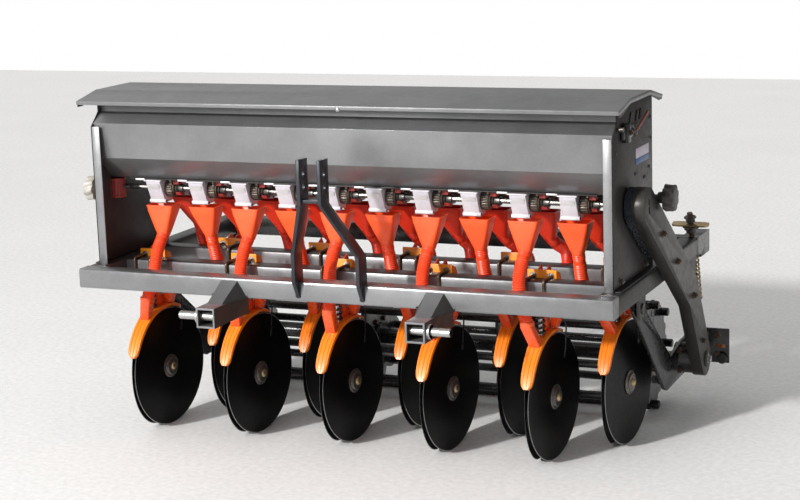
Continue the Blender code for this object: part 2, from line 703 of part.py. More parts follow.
# ---- metering ----------------------------------------------------------------------
def meter_bank():
    """Base plate under the hopper with a seed and a fertiliser meter for each row."""
    top = HOPPER_FLOOR - GAP
    reach = meter_x(ROWS - 1) + METER_WIDTH / 2 + CUP_LENGTH + 0.020
    base = box((-reach, reach), (SEED_TROUGH[0] - 0.006, FERT_TROUGH[1] + 0.006), (top - METER_BASE, top))
    seat = top - METER_BASE + 0.001
    front, back = SEED_TROUGH[0] - 0.016, SEED_TROUGH[1] - 0.006
    half = METER_WIDTH / 2
    for row in range(ROWS):
        x = meter_x(row)
        housing = profile([(front, seat), (front + 0.034, METER_BOTTOM), (back, METER_BOTTOM),
                           (back, seat)], x - half, x + half)
        cup = rod((x + half - 0.001, SHAFT_Y, SHAFT_Z), (x + half + CUP_LENGTH, SHAFT_Y, SHAFT_Z),
                  CUP_RADIUS, 12)
        rear = box((x - half, x + half), (FERT_METER_Y - FERT_METER_DEPTH / 2,
                                          FERT_METER_Y + FERT_METER_DEPTH / 2),
                   (METER_BOTTOM, seat))
        join(base, housing, cup, rear)
    bore = rod((-reach - 0.02, SHAFT_Y, SHAFT_Z), (reach + 0.02, SHAFT_Y, SHAFT_Z),
               SHAFT_RADIUS + RUNNING_GAP, 12)
    finish(cut(base, bore), "meter_bank", "cast_alloy")


def metering_shaft():
    reach = HOPPER_HALF - 0.004
    shaft = rod((-reach, SHAFT_Y, SHAFT_Z), (reach, SHAFT_Y, SHAFT_Z), SHAFT_RADIUS, 12)
    finish(shaft, "metering_shaft", "zinc", pivot=(0, SHAFT_Y, SHAFT_Z))


# ---- funnels and hoses ----------------------------------------------------------------
def ring(centre, radius, count=8):
    """Points round a level circle."""
    return [(centre[0] + radius * math.cos(a), centre[1] + radius * math.sin(a), centre[2])
            for a in (math.tau * i / count for i in range(count))]


def funnel(x, y, lean):
    """A rectangular mouth that tapers down to the hose's neck, which is set back by the lean."""
    half_x, half_y = FUNNEL_WIDTH / 2, FUNNEL_DEPTH / 2
    mouth = [(x + sx * half_x, y + sy * half_y, FUNNEL_TOP) for sx in (-1, 1) for sy in (-1, 1)]
    return hull(mouth + ring((x, y + lean, FUNNEL_NECK), HOSE_RADIUS * 0.98))


def fender_point(y0, corner, above):
    """A corner of the fender's outside in (y, z), raised by an amount."""
    turn = math.radians(FENDER_FROM_DEG + corner * FENDER_STEP_DEG)
    reach = FENDER_OUTSIDE + above / math.cos(math.radians(FENDER_STEP_DEG / 2))
    return (y0 + reach * math.cos(turn), DISC_RADIUS + reach * math.sin(turn))


def seed_lean(row):
    """Necks of the front row's seed funnels lean forwards and those of the rear row backwards."""
    return FUNNEL_LEAN if row % 2 else -0.4 * FUNNEL_LEAN


def seed_route(row):
    """The front hose: down past the front face of its own toolbar, then over to the fender."""
    x, y0 = row_x(row), row_y(row)
    top_x = meter_x(row) + FUNNEL_SHIFT
    foot_x = x + 0.4 * (top_x - x)
    bar_front = y0 - TOOLBAR_LEAD - TUBE / 2
    drop_y = bar_front - UBOLT - HOSE_RADIUS - HOSE_CLEAR
    start = (top_x, SEED_FUNNEL_Y + seed_lean(row), FUNNEL_NECK + 0.004)
    foot = (foot_x, drop_y + 0.002, 2 * DISC_RADIUS + SPOUT_HEIGHT - 0.004)
    if row % 2:
        front_bar_back = -TOOLBAR_LEAD + TUBE / 2
        near_y = front_bar_back + HOSE_RADIUS + HOSE_CLEAR
        return [start, (top_x, 0.5 * (start[1] + near_y), FRAME_TOP + 0.036),
                (top_x, near_y + 0.006, FRAME_TOP - 0.010),
                (0.7 * top_x + 0.3 * foot_x, 0.4 * near_y + 0.6 * drop_y, FRAME_UNDER), foot]
    return [start, (top_x, 0.4 * start[1] + 0.6 * drop_y, FRAME_TOP + 0.044),
            (top_x, drop_y - 0.001, FRAME_TOP + 0.002),
            (0.7 * top_x + 0.3 * foot_x, drop_y - 0.004, FRAME_UNDER), foot]


def fertiliser_route(row):
    """The rear hose: over and behind the rear toolbar, then down or forward to the fender."""
    x, y0 = row_x(row), row_y(row)
    top_x = meter_x(row) + FUNNEL_SHIFT
    foot_x = x + SOCKET_SIDE
    bar_back = ROW_STAGGER - TOOLBAR_LEAD + TUBE / 2
    foot = (foot_x, y0 + 0.013, 2 * DISC_RADIUS + SPOUT_HEIGHT - 0.004)
    start = (top_x, FERT_METER_Y + FERT_LEAN, FUNNEL_NECK + 0.004)
    crest = (0.8 * top_x + 0.2 * foot_x, start[1] + 0.026, FUNNEL_NECK - 0.022)
    if row % 2:
        return [start, crest, (0.4 * top_x + 0.6 * foot_x, bar_back + 0.030, FRAME_TOP + HEAD_RISE + 0.006),
                (foot_x, bar_back + 0.046, FRAME_TOP - 0.004),
                (foot_x, bar_back + 0.048, FRAME_UNDER), foot]
    return [start, crest, (0.5 * (top_x + foot_x), bar_back + 0.020, FRAME_TOP + 0.028),
            (0.5 * (top_x + foot_x), bar_back + 0.033, FRAME_TOP - 0.018),
            (0.5 * (top_x + foot_x), bar_back + 0.024, FRAME_UNDER - 0.012),
            (0.3 * top_x + 0.7 * foot_x, bar_back - 0.046, FRAME_UNDER - 0.034),
            (foot_x, 0.4 * bar_back, FRAME_UNDER - 0.036), foot]


def delivery_tubes():
    """For each row two funnels and hoses, and the boot on the fender that both hoses end in."""
    for row in range(ROWS):
        x, y0 = row_x(row), row_y(row)
        seed, fertiliser = seed_route(row), fertiliser_route(row)
        mouth_z = 2 * DISC_RADIUS + SPOUT_HEIGHT
        hoses = [tube(smooth_path(route, (len(route) - 1) * HOSE_STEPS), HOSE_RADIUS) for route in (seed,
                                                                                                    fertiliser)]
        seat = [fender_point(y0, corner, GAP) for corner in (4, 5)]
        spout = hull(ring((seed[-1][0], seed[-1][1], mouth_z), SPOUT_RADIUS) + [(x + dx,
                                                                                 *p) for dx in (-0.015,
                                                                                                0.015) for p in seat])
        low, high = x + LEG_THICK / 2 + 0.0015, x + FENDER_WIDTH / 2 - 0.001
        corners = (1, 2, 3, 4, 5)
        strip = profile([fender_point(y0, c, GAP) for c in corners] + [fender_point(y0, c,
                                                                                    GAP + STRIP) for c in corners[::-1]],
                        low, high)
        base = [fender_point(y0, c, GAP + 0.001) for c in (1, 2)]
        socket = hull(ring((fertiliser[-1][0], fertiliser[-1][1], mouth_z), SPOUT_RADIUS * 0.93)
                      + [(side_x, *p) for side_x in (low + 0.001, high - 0.001) for p in base])
        funnels = [funnel(seed[0][0], SEED_FUNNEL_Y, seed_lean(row)),
                   funnel(seed[0][0], FERT_METER_Y, FERT_LEAN)]
        finish(join(*hoses[:1], spout, strip, socket, hoses[1], *funnels),
               "delivery_tubes_%02d" % (row + 1), "orange_plastic")


# ---- openers ------------------------------------------------------------------------
def disc_centre(row, side):
    return Vector((row_x(row) + side * DISC_OFFSET, row_y(row), DISC_RADIUS))


def disc_axis(side):
    """The outward normal of one disc of a pair."""
    toe = math.radians(DISC_TOE_DEG)
    return Vector((side * math.cos(toe), -math.sin(toe), 0))


def opener(row):
    """Clamp head, U-bolts, leg, fender arc, pressure spring and disc spindles of one opener."""
    x, y0 = row_x(row), row_y(row)
    bar = y0 - TOOLBAR_LEAD
    rear_face, front_face = bar + TUBE / 2 + GAP, bar - TUBE / 2 - GAP
    head_low = FRAME_UNDER - HEAD_DROP
    head = box((x - HEAD_WIDTH / 2, x + HEAD_WIDTH / 2), (rear_face, rear_face + HEAD_THICK),
               (head_low, FRAME_TOP + HEAD_RISE))
    low, high = FRAME_UNDER - GAP, FRAME_TOP + GAP
    lap = rear_face + 0.002
    bolt = [(lap, high + UBOLT), (front_face - UBOLT, high + UBOLT), (front_face - UBOLT, low - UBOLT),
            (lap, low - UBOLT),
            (lap, low), (front_face, low), (front_face, high), (lap, high)]
    for side in (-1, 1):
        middle = x + side * UBOLT_SPREAD / 2
        join(head, profile(bolt, middle - UBOLT / 2, middle + UBOLT / 2))
    leg_y = rear_face + HEAD_THICK - 0.002
    leg = profile([(leg_y, FRAME_UNDER + 0.016), (leg_y + 0.030, FRAME_UNDER - 0.004), (leg_y + 0.050,
                                                                                        FRAME_UNDER - 0.116),
                   (y0 + 0.022, DISC_RADIUS - 0.012), (y0 - 0.022, DISC_RADIUS - 0.012), (y0 - 0.030,
                                                                                          FRAME_UNDER - 0.126),
                   (leg_y, head_low + 0.004)], x - LEG_THICK / 2, x + LEG_THICK / 2)
    hub = (y0, DISC_RADIUS)
    to_deg = FENDER_FROM_DEG + FENDER_STEPS * FENDER_STEP_DEG
    strip = profile(arc(hub, FENDER_OUTSIDE, FENDER_FROM_DEG, to_deg, FENDER_STEPS)
                    + arc(hub, FENDER_INSIDE, to_deg, FENDER_FROM_DEG,
                          FENDER_STEPS), x - FENDER_WIDTH / 2, x + FENDER_WIDTH / 2)
    spring_y = y0 - SPRING_LEAD
    seat = box((x - 0.017, x + 0.017), (spring_y - 0.017, lap), (head_low, head_low + SPRING_SEAT))
    spring = rod((x, spring_y, fender_point(0, 3, GAP + STRIP + 0.003)[1]),
                 (x, spring_y, head_low + 0.001), SPRING_RADIUS, 8)
    post = rod((x, spring_y, DISC_RADIUS + FENDER_INSIDE * 0.955), (x, spring_y, head_low + 0.001),
               LEG_THICK / 2, 8)
    made = join(head, leg, strip, seat, spring, post)
    for side in (-1, 1):
        end = disc_centre(row, side) - disc_axis(side) * (DISC_THICK / 2 + GAP)
        join(made, rod(end - disc_axis(side) * 0.016, end, SPINDLE_RADIUS, 8))
    finish(made, "opener_%02d" % (row + 1), "orange_paint")


def disc(row, side):
    """One flat disc with its hub, turned about its own toed-in axis."""
    half = DISC_THICK / 2
    outline = [(0, half + HUB_HEIGHT), (HUB_RADIUS - HUB_TAPER, half + HUB_HEIGHT), (HUB_RADIUS, half),
               (DISC_RADIUS - DISC_BEVEL, half), (DISC_RADIUS, 0), (DISC_RADIUS - DISC_BEVEL, -half), (0,
                                                                                                       -half)]
    bm = bmesh.new()
    verts = [bm.verts.new((radius, 0, height)) for radius, height in outline]
    for pair in zip(verts, verts[1:]):
        bm.edges.new(pair)
    name = "disc_%02d_%s" % (row + 1, "left" if side < 0 else "right")
    data = bpy.data.meshes.new(name)
    bm.to_mesh(data)
    bm.free()
    made = finish(shape(name, data), name, "disc_steel")
    turned = made.modifiers.new("turned", "SCREW")
    turned.steps = turned.render_steps = DISC_STEPS
    turned.use_merge_vertices = True
    turned.merge_threshold = 0.0001
    turned.use_smooth_shade = False
    made.rotation_euler = disc_axis(side).to_track_quat("Z", "X").to_euler()
    made.location = disc_centre(row, side)


# ---- roller, arms and chain case ---------------------------------------------------------
def press_roller():
    """Cage roller: axle, spiders and round bars on a circle."""
    centre = (ROLLER_Y, ROLLER_RADIUS)
    roller = rod((-ROLLER_HALF, *centre), (ROLLER_HALF, *centre), AXLE_RADIUS, 16)
    join(roller, rod((-STUB_SHAFT_END, *centre), (STUB_SHAFT_END, *centre), STUB_SHAFT_RADIUS, 16))
    circle = ROLLER_RADIUS - BAR_RADIUS
    reach = ROLLER_HALF - SPIDER_INSET
    for index in range(SPIDERS):
        x = reach * (2 * index / (SPIDERS - 1) - 1)
        join(roller, rod((x - SPIDER_THICK / 2, *centre), (x + SPIDER_THICK / 2, *centre), circle + 0.004,
                         16))
    for index in range(ROLLER_BARS):
        turn = math.tau * index / ROLLER_BARS - math.pi / 2
        y = ROLLER_Y + circle * math.cos(turn)
        z = ROLLER_RADIUS + circle * math.sin(turn)
        join(roller, rod((-ROLLER_HALF, y, z), (ROLLER_HALF, y, z), BAR_RADIUS, 8))
    finish(roller, "press_roller", "black_paint", pivot=(0, *centre))


def roller_arms():
    """Bent arm each side, from its pin under the side beam past the roller to the screw's foot."""
    w = ARM_HALF_WIDTH
    hub_y, hub_z = ROLLER_Y, ROLLER_RADIUS
    foot_top = SCREW_FOOT_Z - 0.010
    outline = [(ARM_PIVOT_Y - w * 0.6, ARM_PIVOT_Z + 0.024), (ARM_PIVOT_Y + w * 0.8, ARM_PIVOT_Z + 0.022),
               (ARM_ELBOW_Y + w, ARM_ELBOW_Z + 0.045), (hub_y, hub_z + 0.050), (SCREW_FOOT_Y - 0.030,
                                                                                foot_top),
               (ARM_REAR, foot_top - 0.010), (ARM_REAR, hub_z - 0.0535), (hub_y, hub_z - 0.055),
               (ARM_ELBOW_Y - 0.010, ARM_ELBOW_Z - 0.045), (ARM_ELBOW_Y - w - 0.004, ARM_ELBOW_Z - 0.035),
               (ARM_PIVOT_Y - w, ARM_PIVOT_Z - 0.004)]
    for name, side in (("roller_arm_left", -1), ("roller_arm_right", 1)):
        arm = profile(outline, *both(side, ARM_X - ARM_THICK / 2, ARM_X + ARM_THICK / 2))
        pivot = rod((side * (ARM_X - 0.012), ARM_PIVOT_Y, ARM_PIVOT_Z),
                    (side * (LUG_X + LUG_THICK + 0.004), ARM_PIVOT_Y, ARM_PIVOT_Z), ARM_PIN)
        bearing = rod((side * (ARM_X - 0.014), hub_y, hub_z), (side * (CASE_INNER - GAP), hub_y, hub_z),
                      ARM_BEARING, 24)
        foot = box(both(side, ARM_X + 0.002, SCREW_X + FOOT_WIDTH), (SCREW_FOOT_Y + 0.012,
                                                                     SCREW_FOOT_Y + 0.012 + FOOT_THICK),
                   (hub_z - 0.0535, foot_top))
        join(arm, pivot, bearing, foot)
        cut(arm, rod((side * 0.8 * HALF_FRAME, hub_y, hub_z), (side * 1.1 * HALF_FRAME, hub_y, hub_z),
                     STUB_SHAFT_RADIUS + RUNNING_GAP))
        finish(arm, name, "black_paint", pivot=(side * ARM_X, ARM_PIVOT_Y, ARM_PIVOT_Z))


def turned(vector):
    """A (y, z) vector turned a quarter turn anticlockwise."""
    return Vector((-vector.y, vector.x))


def link_outline(points, radius):
    """A round-ended link of one width along the given (y, z) points."""
    runs = [(end - start).normalized() for start, end in zip(points, points[1:])]
    bends = [(turned(a) + turned(b)) * radius / (1 + a.dot(b)) for a, b in zip(runs, runs[1:])]
    first, last = (math.degrees(math.atan2(run.y, run.x)) for run in (runs[0], runs[-1]))
    return (arc(points[0], radius, first + 90, first + 270, 8) + [tuple(p - bend) for p,
                                                                  bend in zip(points[1:], bends)]
            + arc(points[-1], radius, last - 90, last + 90, 8)
            + [tuple(p + bend) for p, bend in reversed(list(zip(points[1:], bends)))])


def chain_case():
    """Dog-leg sheet case over the drive from the roller's axle up to the metering shaft."""
    top = Vector((SHAFT_Y, SHAFT_Z))
    elbow = Vector((CASE_ELBOW_Y, CASE_ELBOW_Z))
    low = Vector((ROLLER_Y, ROLLER_RADIUS))
    drum_end = top + (elbow - top).normalized() * CASE_DRUM_LENGTH
    case = profile(link_outline([top, elbow, low], CASE_RADIUS), CASE_INNER, CASE_OUTER)
    drum = profile(link_outline([top, drum_end], CASE_RADIUS - 0.001), CASE_DRUM, CASE_INNER + 0.002)
    slot = box((CASE_OUTER - CASE_SLOT_DEPTH, CASE_OUTER + 0.01), (SHAFT_Y - CASE_SLOT[0] / 2,
                                                                   SHAFT_Y + CASE_SLOT[0] / 2),
               (SHAFT_Z - CASE_SLOT[1] / 2, SHAFT_Z + CASE_SLOT[1] / 2))
    finish(cut(join(case, drum), slot), "chain_case", "graphite_paint", pivot=(ARM_X, ARM_PIVOT_Y,
                                                                               ARM_PIVOT_Z))


front_beam()
side_beams()
toolbars()
rear_beam()
depth_screws()
hitch_mast()
hopper()
hopper_lid()
end_plates()
meter_bank()
metering_shaft()
delivery_tubes()
for number in range(ROWS):
    opener(number)
    disc(number, -1)
    disc(number, 1)
press_roller()
roller_arms()
chain_case()
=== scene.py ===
import math

import bmesh
import bpy
from mathutils import Matrix, Vector


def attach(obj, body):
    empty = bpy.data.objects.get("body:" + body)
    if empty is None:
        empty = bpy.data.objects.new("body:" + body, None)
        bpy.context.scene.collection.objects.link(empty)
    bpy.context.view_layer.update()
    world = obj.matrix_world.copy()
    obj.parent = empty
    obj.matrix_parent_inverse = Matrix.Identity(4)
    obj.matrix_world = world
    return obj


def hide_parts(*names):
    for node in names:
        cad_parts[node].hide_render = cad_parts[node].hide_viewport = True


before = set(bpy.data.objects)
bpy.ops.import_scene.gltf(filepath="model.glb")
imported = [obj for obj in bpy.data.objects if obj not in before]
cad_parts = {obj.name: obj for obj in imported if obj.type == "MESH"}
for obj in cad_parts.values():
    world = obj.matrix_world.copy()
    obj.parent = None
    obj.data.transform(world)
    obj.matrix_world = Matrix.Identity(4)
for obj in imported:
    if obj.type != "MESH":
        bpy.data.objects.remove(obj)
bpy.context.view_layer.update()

# ---- the CAD model's own stations, metres; Y is counted from the front row of disc hubs ----
ORIGIN_Y = 0.200
GAP = 0.0003
ROWS, ROW_PITCH, ROW_STAGGER = 10, 0.150, 0.200
FRAME_TOP, TUBE = 0.511, 0.055
FRAME_UNDER = FRAME_TOP - TUBE
TOOLBAR_LEAD = 0.0545
DISC_R, DISC_TOE, DISC_OFFSET, DISC_THICK = 0.175, math.radians(5.2), 0.0205, 0.004
FENDER_IN, FENDER_OUT, FENDER_HALF = 0.183, 0.187, 0.0235
FENDER_FROM, FENDER_STEP = 62.0, 12.25
HEAD_HALF, HEAD_LOW, HEAD_HIGH = 0.041, 0.432, 0.532
UBOLT, UBOLT_SPREAD = 0.0085, 0.050
HOPPER_FLOOR = 0.7512
METER_PITCH, METER_HALF, METER_BOTTOM = 0.138, 0.023, 0.689
SHAFT_Y, SHAFT_Z, SHAFT_R = -0.045, 0.719, 0.008
FERT_Y = 0.0885
FUNNEL_TOP, FUNNEL_NECK, FUNNEL_SHIFT = 0.672, 0.585, 0.008
FUNNEL_HALF_X, FUNNEL_HALF_Y = 0.043, 0.031
SEED_LEAN, FERT_LEAN = 0.020, 0.055
HOSE_R, MOUTH_Z, SOCKET_SIDE = 0.018, 0.408, 0.026
ROLLER_Y, ROLLER_R, ROLLER_HALF = 0.550, 0.1635, 0.686
PLATE_FRONT, PLATE_REAR, PLATE_SHOULDER = -0.168, 0.197, 0.908
PLATE_INNER, PLATE_THICK = 0.7643, 0.004
HALF_SPAN, KNOB_R = 0.866, 0.037
SCREW_X, SCREW_TOP, SCREW_FOOT, SCREW_R = 0.766, (0.600, 0.585), (0.700, 0.225), 0.009
ARM_X, CASE_OUTER = 0.7505, 0.828
BEAM_FACE = -0.246
STUB_X, HITCH_PIN = 0.305, (-0.365, 0.4295)
UBOLT_ROOM, HOSE_ROOM = 0.009, 0.006     # from a toolbar's face to a hose


# ---- materials ------------------------------------------------------------------------------
def material(name, colour, second, metallic=0.0, rough=(0.3, 0.45), mottle=9.0, grain=400.0,
             bump=0.15, depth=0.0004, coat=0.0, stretch=(1, 1, 1), specular=0.5):
    """Paint, metal or plastic: two mottled tones, uneven gloss and a fine relief."""
    mat = bpy.data.materials.new(name)
    mat.use_nodes = True
    nodes, links = mat.node_tree.nodes, mat.node_tree.links
    shader = nodes["Principled BSDF"]
    shader.inputs["Metallic"].default_value = metallic
    shader.inputs["Coat Weight"].default_value = coat
    shader.inputs["Coat Roughness"].default_value = 0.12
    shader.inputs["Specular IOR Level"].default_value = specular
    where = nodes.new("ShaderNodeTexCoord")
    scale = nodes.new("ShaderNodeMapping")
    scale.inputs["Scale"].default_value = stretch
    links.new(where.outputs["Object"], scale.inputs["Vector"])

    def noise(size, detail, roughness):
        node = nodes.new("ShaderNodeTexNoise")
        node.inputs["Scale"].default_value = size
        node.inputs["Detail"].default_value = detail
        node.inputs["Roughness"].default_value = roughness
        links.new(scale.outputs["Vector"], node.inputs["Vector"])
        return node

    broad, fine, small = noise(mottle, 6, 0.62), noise(grain, 2, 0.5), noise(mottle * 7, 4, 0.6)
    ramp = nodes.new("ShaderNodeValToRGB")
    ramp.color_ramp.elements[0].position, ramp.color_ramp.elements[1].position = 0.34, 0.68
    ramp.color_ramp.elements[0].color = (*colour, 1)
    ramp.color_ramp.elements[1].color = (*second, 1)
    links.new(broad.outputs["Fac"], ramp.inputs["Fac"])
    speck = nodes.new("ShaderNodeMix")
    speck.data_type, speck.blend_type = "RGBA", "MULTIPLY"
    speck.inputs["Factor"].default_value = 0.35
    tone = nodes.new("ShaderNodeMapRange")
    tone.inputs["From Min"].default_value, tone.inputs["From Max"].default_value = 0.3, 0.7
    tone.inputs["To Min"].default_value, tone.inputs["To Max"].default_value = 0.72, 1.12
    links.new(fine.outputs["Fac"], tone.inputs["Value"])
    links.new(ramp.outputs["Color"], speck.inputs["A"])
    links.new(tone.outputs["Result"], speck.inputs["B"])
    links.new(speck.outputs["Result"], shader.inputs["Base Color"])
    gloss = nodes.new("ShaderNodeMapRange")
    gloss.inputs["From Min"].default_value, gloss.inputs["From Max"].default_value = 0.3, 0.7
    gloss.inputs["To Min"].default_value, gloss.inputs["To Max"].default_value = rough
    links.new(small.outputs["Fac"], gloss.inputs["Value"])
    links.new(gloss.outputs["Result"], shader.inputs["Roughness"])
    relief = nodes.new("ShaderNodeBump")
    relief.inputs["Strength"].default_value = bump
    relief.inputs["Distance"].default_value = depth
    links.new(fine.outputs["Fac"], relief.inputs["Height"])
    links.new(relief.outputs["Normal"], shader.inputs["Normal"])
    return mat


GRAPHITE = material("graphite_hammered", (0.215, 0.218, 0.226), (0.285, 0.288, 0.296), 0.70, (0.28, 0.38), 5,
    420, 0.35, 0.0005)
# Painted shade: a darker copy of the graphite paint, for faces of the frame that lie in shade.
PAINTED_SHADE_GRAPHITE = material("graphite_painted_shade", (0.050, 0.048, 0.048), (0.076, 0.073, 0.072), 0.5, (0.30, 0.42), 5, 420,
    0.3, 0.0005, specular=0.35)
# Painted shade: the mast's graphite paint darkened to blue-black, standing in for the shade on its broad sides.
MAST_PAINTED_SHADE = material("mast_blue_black_painted_shade", (0.030, 0.033, 0.040), (0.048, 0.052, 0.060), 0.5, (0.28, 0.38), 5,
    420, 0.25, 0.0004, specular=0.4)
# Near-black graphite: the welds, meter base and lid ribs, and painted shade on the end panels.
DARK_GRAPHITE_AND_PAINTED_SHADE = material("graphite_dark_and_painted_shade", (0.030, 0.026, 0.026), (0.046, 0.041, 0.040), 0.2, (0.34, 0.46), 6,
    420, 0.3, 0.0004, specular=0.3)
# Painted shade: the chain case's graphite paint darkened for its shaded side.
CASE_PAINTED_SHADE = material("case_grey_painted_shade", (0.036, 0.033, 0.030), (0.054, 0.050, 0.045), 0.35, (0.32, 0.44), 6, 420,
    0.3, 0.0005, specular=0.3)
DRUM_BLUE = material("drum_blue_black", (0.050, 0.062, 0.080), (0.074, 0.088, 0.108), 0.6, (0.22, 0.32), 8,
    420, 0.2, 0.0004)
BLACK = material("black_gloss", (0.010, 0.010, 0.011), (0.022, 0.021, 0.021), 0.2, (0.22, 0.36), 12, 350,
    0.15, 0.0004, coat=0.2)
ORANGE = material("fender_orange", (0.93, 0.205, 0.008), (0.98, 0.265, 0.013), 0.0, (0.30, 0.42), 10, 260,
    0.06, 0.0003, coat=0.12)
CLAMP = material("clamp_orange", (1.0, 0.300, 0.008), (1.0, 0.370, 0.014), 0.0, (0.28, 0.42), 12, 300, 0.12,
    0.0004)
RED_ORANGE = material("spout_red_orange", (0.86, 0.075, 0.014), (0.93, 0.110, 0.018), 0.0, (0.22, 0.34), 12,
    260, 0.08, 0.0003, coat=0.3)
FUNNEL = material("funnel_orange_red", (0.96, 0.092, 0.020), (1.0, 0.125, 0.028), 0.0, (0.27, 0.38), 8, 240,
    0.05, 0.0002)
HOSE = material("hose_orange_red", (0.92, 0.062, 0.016), (0.98, 0.085, 0.020), 0.0, (0.30, 0.42), 12, 300,
    0.08, 0.0003)
HOSE_DARK = material("hose_red", (0.86, 0.036, 0.012), (0.93, 0.052, 0.016), 0.0, (0.32, 0.46), 12, 300, 0.1,
    0.0003)
DARK_RED = material("cup_dark_red", (0.22, 0.018, 0.016), (0.32, 0.030, 0.024), 0.0, (0.35, 0.5), 30, 500,
    0.2, 0.0003)
ALLOY = material("cast_lilac_grey", (0.60, 0.57, 0.62), (0.70, 0.67, 0.71), 0.25, (0.42, 0.56), 25, 900, 0.25,
    0.0003)
STRIP = material("base_strip_grey", (0.62, 0.61, 0.62), (0.72, 0.71, 0.72), 0.3, (0.35, 0.5), 14, 600, 0.12,
    0.0002)
CUP = material("cup_bronze", (0.060, 0.045, 0.036), (0.115, 0.088, 0.070), 0.5, (0.30, 0.48), 40, 700, 0.25,
    0.0003)
ZINC = material("bright_zinc", (0.42, 0.42, 0.41), (0.52, 0.52, 0.51), 0.9, (0.24, 0.34), 9, 160, 0.05,
    0.0001)
YELLOW_ZINC = material("yellow_zinc", (0.46, 0.35, 0.16), (0.60, 0.44, 0.30), 0.85, (0.24, 0.4), 45, 700,
    0.15, 0.0002)
BRONZE = material("bronze_bolt", (0.085, 0.055, 0.038), (0.17, 0.115, 0.080), 0.7, (0.28, 0.44), 60, 800, 0.2,
    0.0003)
EDGE = material("ground_edge", (0.26, 0.26, 0.27), (0.44, 0.44, 0.44), 1.0, (0.24, 0.38), 60, 1200, 0.2,
    0.0002)
SHAFT = material("worn_shaft", (0.085, 0.080, 0.072), (0.22, 0.21, 0.20), 0.8, (0.26, 0.4), 35, 800, 0.15,
    0.0002)
HUB = material("hub_steel", (0.16, 0.145, 0.135), (0.26, 0.235, 0.215), 0.75, (0.28, 0.42), 40, 700, 0.2,
    0.0003)
KNOB = material("knob_dark", (0.052, 0.046, 0.046), (0.085, 0.072, 0.066), 0.1, (0.36, 0.5), 25, 500, 0.25,
    0.0004)
KNOB_LIGHT = material("knob_light", (0.40, 0.38, 0.34), (0.52, 0.49, 0.44), 0.1, (0.4, 0.55), 25, 500, 0.25,
    0.0004)
LABEL_TOP = material("label_pale", (0.66, 0.55, 0.68), (0.80, 0.72, 0.80), 0.0, (0.3, 0.4), 22, 500, 0.05,
    0.0001)
LABEL_LOW = material("label_blue", (0.035, 0.115, 0.34), (0.055, 0.15, 0.42), 0.0, (0.3, 0.4), 22, 500, 0.05,
    0.0001)
RUBBER = material("rubber_black", (0.014, 0.013, 0.013), (0.03, 0.028, 0.027), 0.0, (0.5, 0.7), 30, 500, 0.3,
    0.0004)
SEALANT = material("rod_red", (0.42, 0.10, 0.07), (0.55, 0.22, 0.18), 0.4, (0.3, 0.45), 30, 600, 0.15, 0.0002)
COPPER = material("copper_strip", (0.26, 0.10, 0.05), (0.36, 0.16, 0.08), 0.8, (0.3, 0.45), 40, 700, 0.15,
    0.0002)
BLADE = material("blade_black", (0.0022, 0.0018, 0.0020), (0.0040, 0.0034, 0.0034), 0.0, (0.34, 0.44), 14,
    900, 0.03, 0.0001, specular=0.16)


# ---- shapes ---------------------------------------------------------------------------------
def skin(part, rings, loop=False):
    """Faces between successive rings of vertices; a ring of one vertex is a tip."""
    pairs = list(zip(rings, rings[1:])) + ([(rings[-1], rings[0])] if loop else [])
    for a, b in pairs:
        count = max(len(a), len(b))
        for i in range(count):
            j = (i + 1) % count
            corners = (a[i % len(a)], a[j % len(a)], b[j % len(b)], b[i % len(b)])
            part.faces.new(list(dict.fromkeys(corners)))
    if not loop:
        for ring in (rings[0], rings[-1]):
            if len(ring) > 2:
                part.faces.new(ring)


def soften(part, width, segments=2, angle=25):
    """Rounds the edges where faces meet at more than an angle."""
    bmesh.ops.recalc_face_normals(part, faces=part.faces)
    part.normal_update()
    edges = [e for e in part.edges if len(e.link_faces) == 2 and e.calc_face_angle(0) > math.radians(angle)]
    bmesh.ops.bevel(part, geom=edges, offset=width, segments=segments, profile=0.5, affect="EDGES",
        clamp_overlap=True)


def moving_frames(points, across=None):
    """Each point with two cross directions, carried along the line without twist."""
    points = [Vector(p) for p in points]
    last = len(points) - 1
    result = []
    for i, point in enumerate(points):
        along = (points[min(i + 1, last)] - points[max(i - 1, 0)]).normalized()
        if across is None:
            across = along.orthogonal()
        across = (Vector(across) - along * Vector(across).dot(along)).normalized()
        result.append((point, across, along.cross(across)))
    return result


def circle(radius, count, start=0.0):
    return [(radius * math.cos(start + math.tau * i / count),
        radius * math.sin(start + math.tau * i / count)) for i in range(count)]


def rounded_box(half_u, half_v, power, count):
    """Points round a box whose corners sharpen as the power grows."""
    points = []
    for i in range(count):
        c, s = math.cos(math.tau * i / count), math.sin(math.tau * i / count)
        points.append((half_u * math.copysign(abs(c) ** (2 / power), c),
            half_v * math.copysign(abs(s) ** (2 / power), s)))
    return points


def lobed(lobes, outer, inner, count, centre=(0, 0), turn=0.0):
    """A smooth star outline."""
    points = []
    for i in range(count):
        a = math.tau * i / count
        wave = 0.5 + 0.5 * math.cos(lobes * (a - turn))
        r = inner + (outer - inner) * wave ** 0.6
        points.append((centre[0] + r * math.cos(a), centre[1] + r * math.sin(a)))
    return points


def toothed(teeth, outer, inner, centre):
    """A square-toothed outline."""
    points = []
    for i in range(teeth):
        for share, r in ((0.0, inner), (0.16, outer), (0.50, outer), (0.66, inner)):
            a = math.tau * (i + share) / teeth
            points.append((centre[0] + r * math.cos(a), centre[1] + r * math.sin(a)))
    return points


def arc(centre, radius, start, end, steps):
    return [(centre[0] + radius * math.cos(math.radians(start + (end - start) * i / steps)),
             centre[1] + radius * math.sin(math.radians(start + (end - start) * i / steps)))
             for i in range(steps + 1)]


